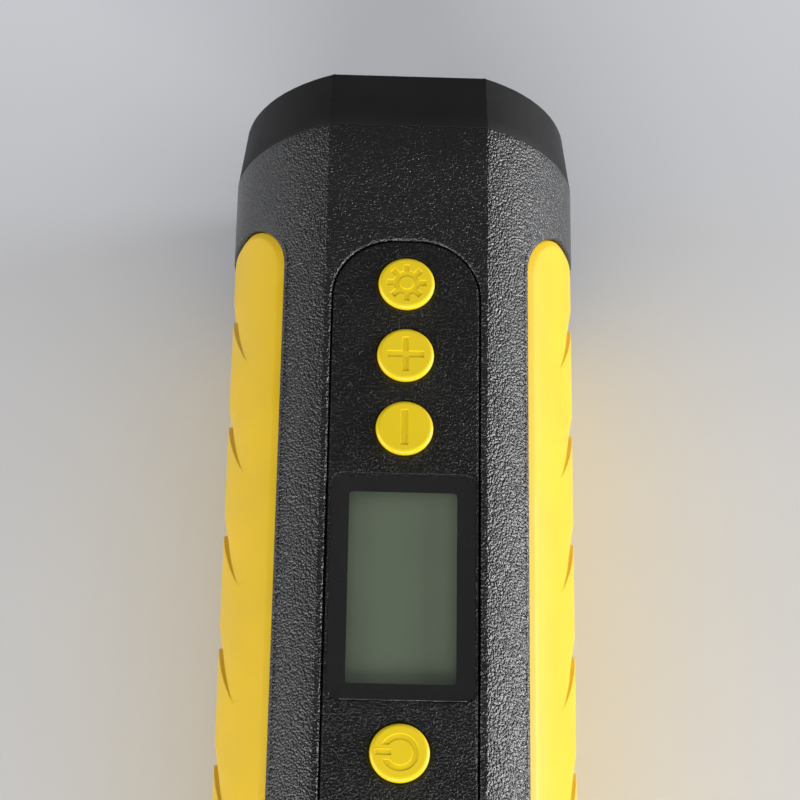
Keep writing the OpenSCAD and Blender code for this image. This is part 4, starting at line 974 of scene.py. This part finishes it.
def eroded_cap():
    """The same nylon from a finer tool: a matt black, smoother than the case."""
    return surface("Fine-eroded nylon", bpy.context.scene.finish_colours.cap, 0.55, 0.3 * MM,
                   0.04 * MM, tone=0.1, Specular_IOR_Level=0.15)[0]


def satin_grip():
    """Moulded elastomer: an even satin yellow, slightly waxy, with a haze of fine grain."""
    return surface("Satin elastomer", bpy.context.scene.finish_colours.grip, 0.46, 0.22 * MM,
                   0.012 * MM, gloss=0.12, tone=0.03)[0]


def satin_panel():
    """ABS from a blasted tool: a deep black with a faint sparkle. The grain is drawn at 0.45 mm, coarser
    than the real one, so that it shows."""
    return surface("Blasted ABS", bpy.context.scene.finish_colours.panel, 0.27, 0.45 * MM,
                   0.4 * MM, tone=0.1, Specular_IOR_Level=0.5)[0]


def button_plastic():
    """Polished ABS: a clear yellow whose rounded edges carry a highlight."""
    return surface("Polished ABS", bpy.context.scene.finish_colours.button, 0.3, 0.3 * MM,
                   0.004 * MM, gloss=0.15, tone=0.02)[0]


def printed_border():
    """Ink printed under a clear window: a deep black, even and smooth."""
    return surface("Printed ink", bpy.context.scene.finish_colours.ink, 0.25, 2 * MM, 0.0005 * MM)[0]


def display_glass():
    """A display's glass with its grey-green polariser: a soft dull sheet, a little uneven."""
    return surface("Display polariser", bpy.context.scene.finish_colours.display, 0.5, 1.5 * MM,
                   0.001 * MM, tone=0.04)[0]


def clear(name, code, roughness, streak, depth):
    """A clear moulding with fine streaks along the barrel. Its shadow is let through, so that what
    lies under it is lit as through a thin sheet."""
    material, tree, shader, where = start(name, Base_Color=(*linear(code), 1), Transmission_Weight=1.0,
                                          IOR=1.49)
    long = add(tree, "Mapping", {"Vector": where, "Scale": (1, 0.04, 1)})
    lines = add(tree, "TexNoise", {"Vector": long.outputs["Vector"], "Scale": 1 / streak, "Detail": 3.0})
    relief = add(tree, "Bump", {"Height": lines.outputs["Fac"], "Distance": depth})
    shine = add(tree, "MapRange", {"Value": lines.outputs["Fac"], "To Min": roughness * 0.5,
                                   "To Max": roughness * 1.5})
    tree.links.new(relief.outputs["Normal"], shader.inputs["Normal"])
    tree.links.new(shine.outputs["Result"], shader.inputs["Roughness"])
    through = add(tree, "BsdfTransparent", {"Color": (*linear("#eeeeee"), 1)})
    rays = add(tree, "LightPath")
    either = add(tree, "Math", {0: rays.outputs["Is Shadow Ray"], 1: rays.outputs["Is Diffuse Ray"]},
                 operation="MAXIMUM")
    both = add(tree, "MixShader", {0: either.outputs[0], 1: shader.outputs[0], 2: through.outputs[0]})
    tree.links.new(both.outputs[0], tree.nodes["Material Output"].inputs["Surface"])
    return material


def window_acrylic():
    """Acrylic with a hard coat: clear and glossy, with polishing streaks."""
    return clear("Hard-coated acrylic", "#fbfcfb", 0.06, 0.5 * MM, 0.002 * MM)


def lamp_polycarbonate():
    """Polycarbonate: clear, with a cool cast in its thickness."""
    return clear("Lamp polycarbonate", "#f2f6f8", 0.08, 0.8 * MM, 0.002 * MM)


def white_nylon():
    """Moulded nylon: a soft warm white."""
    return surface("White nylon", linear("#d9d6cc"), 0.45, 0.3 * MM, 0.01 * MM)[0]


def gear_acetal():
    """Moulded acetal: waxy and off-white."""
    return surface("Acetal", linear("#c9c4ae"), 0.35, 0.3 * MM, 0.006 * MM)[0]


def black_acetal():
    """Black acetal: dull, with soft shine on its edges."""
    return surface("Black acetal", linear("#1b1b1c"), 0.42, 0.25 * MM, 0.01 * MM)[0]


def cover_rubber():
    """Moulded rubber: a dry, slightly dusty black."""
    return surface("Moulded rubber", linear("#1d1d1e"), 0.62, 0.2 * MM, 0.01 * MM, tone=0.2)[0]


def seal_rubber():
    """Nitrile rubber: a dull deep black."""
    return surface("Nitrile rubber", linear("#121213"), 0.55, 0.2 * MM, 0.005 * MM)[0]


def gasket_fibre():
    """Pressed fibre sheet: grey-green and matt, with short fibres."""
    return surface("Pressed fibre", linear("#5d6458"), 0.85, 0.4 * MM, 0.02 * MM, tone=0.2)[0]


def filled_ring():
    """A cup of filled PTFE: a dull dark brown."""
    return surface("Filled PTFE", linear("#4b4038"), 0.5, 0.3 * MM, 0.006 * MM)[0]


def tube_nylon():
    """Extruded nylon tube: a translucent milky blue."""
    return surface("Extruded nylon tube", linear("#8fa6b3"), 0.3, 0.6 * MM, 0.004 * MM,
                   Subsurface_Weight=0.2)[0]


def cell_wrap():
    """Shrink sleeve over a cell: a taut, glossy blue film."""
    return surface("Shrink sleeve", linear("#27517f"), 0.24, 2 * MM, 0.01 * MM)[0]


def board():
    """Glass-epoxy board under green lacquer: the weave shows as a faint mesh."""
    material, tree, shader, where = surface("Lacquered board", linear("#17432c"), 0.32, 0.4 * MM,
                                            0.004 * MM, Coat_Weight=0.4, Coat_Roughness=0.15)
    thread, bands_per_unit = 0.5 * MM, 20
    weave = add(tree, "TexWave", {"Vector": where, "Scale": 1 / thread / bands_per_unit,
                                  "Distortion": 0.4})
    relief = add(tree, "Bump", {"Height": weave.outputs["Fac"], "Distance": 0.01 * MM})
    tree.links.new(relief.outputs["Normal"], shader.inputs["Normal"])
    return material


def led_resin():
    """A light-emitting diode's resin: a pale phosphor yellow."""
    return surface("Phosphor resin", linear("#e8dd8c"), 0.3, 0.3 * MM, 0.004 * MM,
                   Subsurface_Weight=0.3)[0]


def metal(name, code, roughness, grain, depth, gloss=0.25):
    """A bare metal with a grain in relief."""
    return surface(name, linear(code), roughness, grain, depth, gloss, 0.05, Metallic=1.0)[0]


def turned_steel():
    """Turned and ground steel: a bright grey with fine tool marks."""
    return metal("Turned steel", "#b4b4b2", 0.28, 0.25 * MM, 0.004 * MM)


def blackened_steel():
    """Zinc-plated steel under black passivate: nearly black with a hard shine on its edges."""
    return surface("Black passivated steel", linear("#232324"), 0.32, 0.2 * MM, 0.006 * MM,
                   Metallic=0.85)[0]


def turned_brass():
    """Turned brass: a warm yellow metal with fine rings from the tool."""
    return metal("Turned brass", "#c9a45a", 0.24, 0.3 * MM, 0.004 * MM)


def sintered_bronze():
    """Sintered bronze: a brown metal with open pores."""
    return metal("Sintered bronze", "#9c7444", 0.45, 0.3 * MM, 0.02 * MM)


def cast_alloy():
    """Die-cast aluminium: a dull grey with a cloudy skin."""
    return metal("Die-cast alloy", "#a3a5a6", 0.48, 0.6 * MM, 0.02 * MM, 0.3)


def turned_aluminium():
    """Turned aluminium: pale and bright."""
    return metal("Turned aluminium", "#c9cacb", 0.26, 0.3 * MM, 0.004 * MM)


def nickel_strip():
    """Rolled nickel strip: a warm silver with faint lines."""
    return metal("Rolled nickel", "#b9b3a6", 0.3, 0.3 * MM, 0.003 * MM)


def enamelled_copper():
    """Enamelled copper wire: a deep glossy red-brown."""
    return metal("Enamelled copper", "#a2552c", 0.28, 0.3 * MM, 0.02 * MM)


def vapour_reflector():
    """Plastic with vapour-coated aluminium: nearly a mirror."""
    return metal("Vapour-coated reflector", "#d5d6d8", 0.12, 1.5 * MM, 0.004 * MM)


FINISHES = {
    "housing": eroded_nylon, "cap": eroded_cap, "grip": satin_grip, "panel": satin_panel,
    "window": window_acrylic, "display": display_glass, "white_plastic": white_nylon,
    "button": button_plastic, "black_plastic": black_acetal, "steel": turned_steel,
    "circuit_board": board, "black_screw": blackened_steel, "lamp_window": lamp_polycarbonate,
    "reflector": vapour_reflector, "led": led_resin, "brass": turned_brass, "seal": seal_rubber,
    "tube": tube_nylon, "cast_alloy": cast_alloy, "bronze": sintered_bronze,
    "gear_nylon": gear_acetal, "aluminium": turned_aluminium, "gasket": gasket_fibre,
    "cup_seal": filled_ring, "winding": enamelled_copper, "cell_wrap": cell_wrap,
    "nickel": nickel_strip, "cover_rubber": cover_rubber, "border": printed_border,
}
finishes = {}


# ---- Stage


def look_from(stage):
    """The camera's directions: forward, up and right turned by turn and tilt, then rolled."""
    c, s = math.cos(stage.turn), math.sin(stage.turn)
    tc, ts = math.cos(stage.tilt), math.sin(stage.tilt)
    forward = np.array([tc * s, ts, -tc * c])
    up = np.array([-ts * s, tc, ts * c])
    right = np.array([c, 0, s])
    rc, rs = math.cos(stage.roll), math.sin(stage.roll)
    return rc * right - rs * up, rs * right + rc * up, forward


def camera():
    """A camera at its place, turned by its own three directions."""
    stage = bpy.context.scene.stage_settings
    right, up, forward = look_from(stage)
    made = bpy.data.objects.new("Camera", bpy.data.cameras.new("Camera"))
    made.data.lens = stage.lens
    made.data.sensor_width = 36
    made.data.clip_start = 0.01
    turned = Matrix([[right[i], up[i], -forward[i]] for i in range(3)]).to_4x4()
    turned.translation = (stage.camera_x, stage.camera_y, stage.camera_z)
    made.matrix_world = turned
    bpy.context.scene.collection.objects.link(made)
    bpy.context.scene.camera = made


def floor():
    """Pale paper: a wide flat sheet with faint soft clouds of tone."""
    stage = bpy.context.scene.stage_settings
    side = np.linspace(-3, 3, 9)
    x, y = np.meshgrid(side, side)
    points, cells = sheet_of(np.dstack([x, y, np.zeros_like(x)]))
    mesh = bpy.data.meshes.new("floor")
    mesh.from_pydata(points, [], cells)
    made = bpy.data.objects.new("floor", mesh)
    mesh.materials.append(surface("Pale paper", stage.floor, 0.8, 0.3 * MM, 0.01 * MM, 0.05, 0.01,
                                  patch=80 * MM)[0])
    bpy.context.scene.collection.objects.link(made)


def light(name, place, aim, wide, tall, power):
    """A soft rectangular light, turned towards a point."""
    made = bpy.data.objects.new(name, bpy.data.lights.new(name, "AREA"))
    made.data.shape = "RECTANGLE"
    made.data.size, made.data.size_y = wide, tall
    made.data.energy = power
    turned = (Vector(aim) - Vector(place)).to_track_quat("-Z", "Y").to_matrix().to_4x4()
    made.matrix_world = Matrix.Translation(place) @ turned
    bpy.context.scene.collection.objects.link(made)


def lights():
    """A dim even room, a large light low on the right, and softer ones at left and beyond the tail."""
    stage = bpy.context.scene.stage_settings
    world = bpy.data.worlds.new("Room")
    world.use_nodes = True
    room = world.node_tree.nodes["Background"]
    room.inputs["Color"].default_value = (*linear("#f4f4f2"), 1)
    room.inputs["Strength"].default_value = stage.room
    bpy.context.scene.world = world
    bpy.context.scene.view_settings.view_transform = "Standard"
    middle = (0, 0.03, 0)
    light("Right", (0.96, 0.05, 0.21), middle, 0.72, 0.4, stage.key)
    light("Left", (-0.93, -0.26, 0.36), middle, 0.9, 0.5, stage.side)
    light("Foot", (0, -0.9, 0.5), middle, 1, 0.5, stage.foot)


# ---- Operators


class INFLATOR_OT_finishes(Operator):
    """Make every finish, and give the parts inside theirs"""

    bl_idname = "inflator.finishes"
    bl_label = "Finishes"

    def execute(self, context):
        finishes.update({slot: make() for slot, make in FINISHES.items()})
        for part in frame["record"]["subparts"]:
            node = frame["nodes"][part["node"]]
            node.data.materials.clear()
            node.data.materials.append(finishes[part["material_slot"]])
        return {"FINISHED"}


class INFLATOR_OT_case(Operator):
    """Build the case's front half round the recesses"""

    bl_idname = "inflator.case"
    bl_label = "Case"

    def execute(self, context):
        front_shell()
        return {"FINISHED"}


class INFLATOR_OT_caps(Operator):
    """Build the head's and the tail's cap"""

    bl_idname = "inflator.caps"
    bl_label = "Caps"

    def execute(self, context):
        head_cap()
        tail_cap()
        return {"FINISHED"}


class INFLATOR_OT_grips(Operator):
    """Build both grips"""

    bl_idname = "inflator.grips"
    bl_label = "Grips"

    def execute(self, context):
        grip("right_grip_moulding", 1, "right_grip")
        grip("left_grip_moulding", -1, "left_grip")
        return {"FINISHED"}


class INFLATOR_OT_panel(Operator):
    """Build the control panel"""

    bl_idname = "inflator.panel"
    bl_label = "Control panel"

    def execute(self, context):
        control_panel()
        return {"FINISHED"}


class INFLATOR_OT_window(Operator):
    """Build the window, its border and the display"""

    bl_idname = "inflator.window"
    bl_label = "Window"

    def execute(self, context):
        window()
        return {"FINISHED"}


class INFLATOR_OT_buttons(Operator):
    """Build the four buttons"""

    bl_idname = "inflator.buttons"
    bl_label = "Buttons"

    def execute(self, context):
        for key in KEYS:
            button(key)
        return {"FINISHED"}


class INFLATOR_OT_lamp(Operator):
    """Build the lamp's lens"""

    bl_idname = "inflator.lamp"
    bl_label = "Lamp"

    def execute(self, context):
        lamp_lens()
        return {"FINISHED"}


class INFLATOR_OT_outlet(Operator):
    """Build the socket for the hose"""

    bl_idname = "inflator.outlet"
    bl_label = "Outlet"

    def execute(self, context):
        outlet()
        return {"FINISHED"}


class INFLATOR_OT_screws(Operator):
    """Build the screws in the caps and in the back"""

    bl_idname = "inflator.screws"
    bl_label = "Screws"

    def execute(self, context):
        cap_screws()
        shell_screws()
        return {"FINISHED"}


class INFLATOR_OT_cover(Operator):
    """Build the charging port's cover"""

    bl_idname = "inflator.cover"
    bl_label = "Port cover"

    def execute(self, context):
        port_cover()
        return {"FINISHED"}


class INFLATOR_OT_stage(Operator):
    """Set up the camera, the floor and the lights"""

    bl_idname = "inflator.stage"
    bl_label = "Stage"

    def execute(self, context):
        camera()
        floor()
        lights()
        return {"FINISHED"}


GROUPS = {"case_sizes": CaseSizes, "grip_sizes": GripSizes, "control_sizes": ControlSizes,
          "end_sizes": EndSizes, "finish_colours": Colours, "stage_settings": StageSettings}
OPERATORS = (INFLATOR_OT_stage, INFLATOR_OT_finishes, INFLATOR_OT_case, INFLATOR_OT_caps,
             INFLATOR_OT_grips, INFLATOR_OT_panel, INFLATOR_OT_window, INFLATOR_OT_buttons,
             INFLATOR_OT_lamp, INFLATOR_OT_outlet, INFLATOR_OT_screws, INFLATOR_OT_cover)


class INFLATOR_PT_sidebar(Panel):
    """The inflator's pieces, sizes and colours in the sidebar"""

    bl_idname = "INFLATOR_PT_sidebar"
    bl_label = "Inflator"
    bl_space_type = "VIEW_3D"
    bl_region_type = "UI"
    bl_category = "Inflator"

    def draw(self, context):
        for operator in OPERATORS:
            self.layout.operator(operator.bl_idname)
        for name, group in GROUPS.items():
            box = self.layout.box()
            box.label(text=group.__doc__)
            for prop in group.__annotations__:
                box.prop(getattr(context.scene, name), prop)


def register():
    """Adds the classes, and the settings to the scene."""
    for cls in (*GROUPS.values(), *OPERATORS, INFLATOR_PT_sidebar):
        bpy.utils.register_class(cls)
    for name, group in GROUPS.items():
        setattr(bpy.types.Scene, name, PointerProperty(type=group))


def unregister():
    """Takes the settings and the classes away again."""
    for name in GROUPS:
        delattr(bpy.types.Scene, name)
    for cls in (INFLATOR_PT_sidebar, *reversed(OPERATORS), *reversed(tuple(GROUPS.values()))):
        bpy.utils.unregister_class(cls)


def main():
    """Builds the stage and every piece in order."""
    register()
    for operator in OPERATORS:
        group, name = operator.bl_idname.split(".")
        getattr(getattr(bpy.ops, group), name)()


if __name__ == "__main__":
    main()
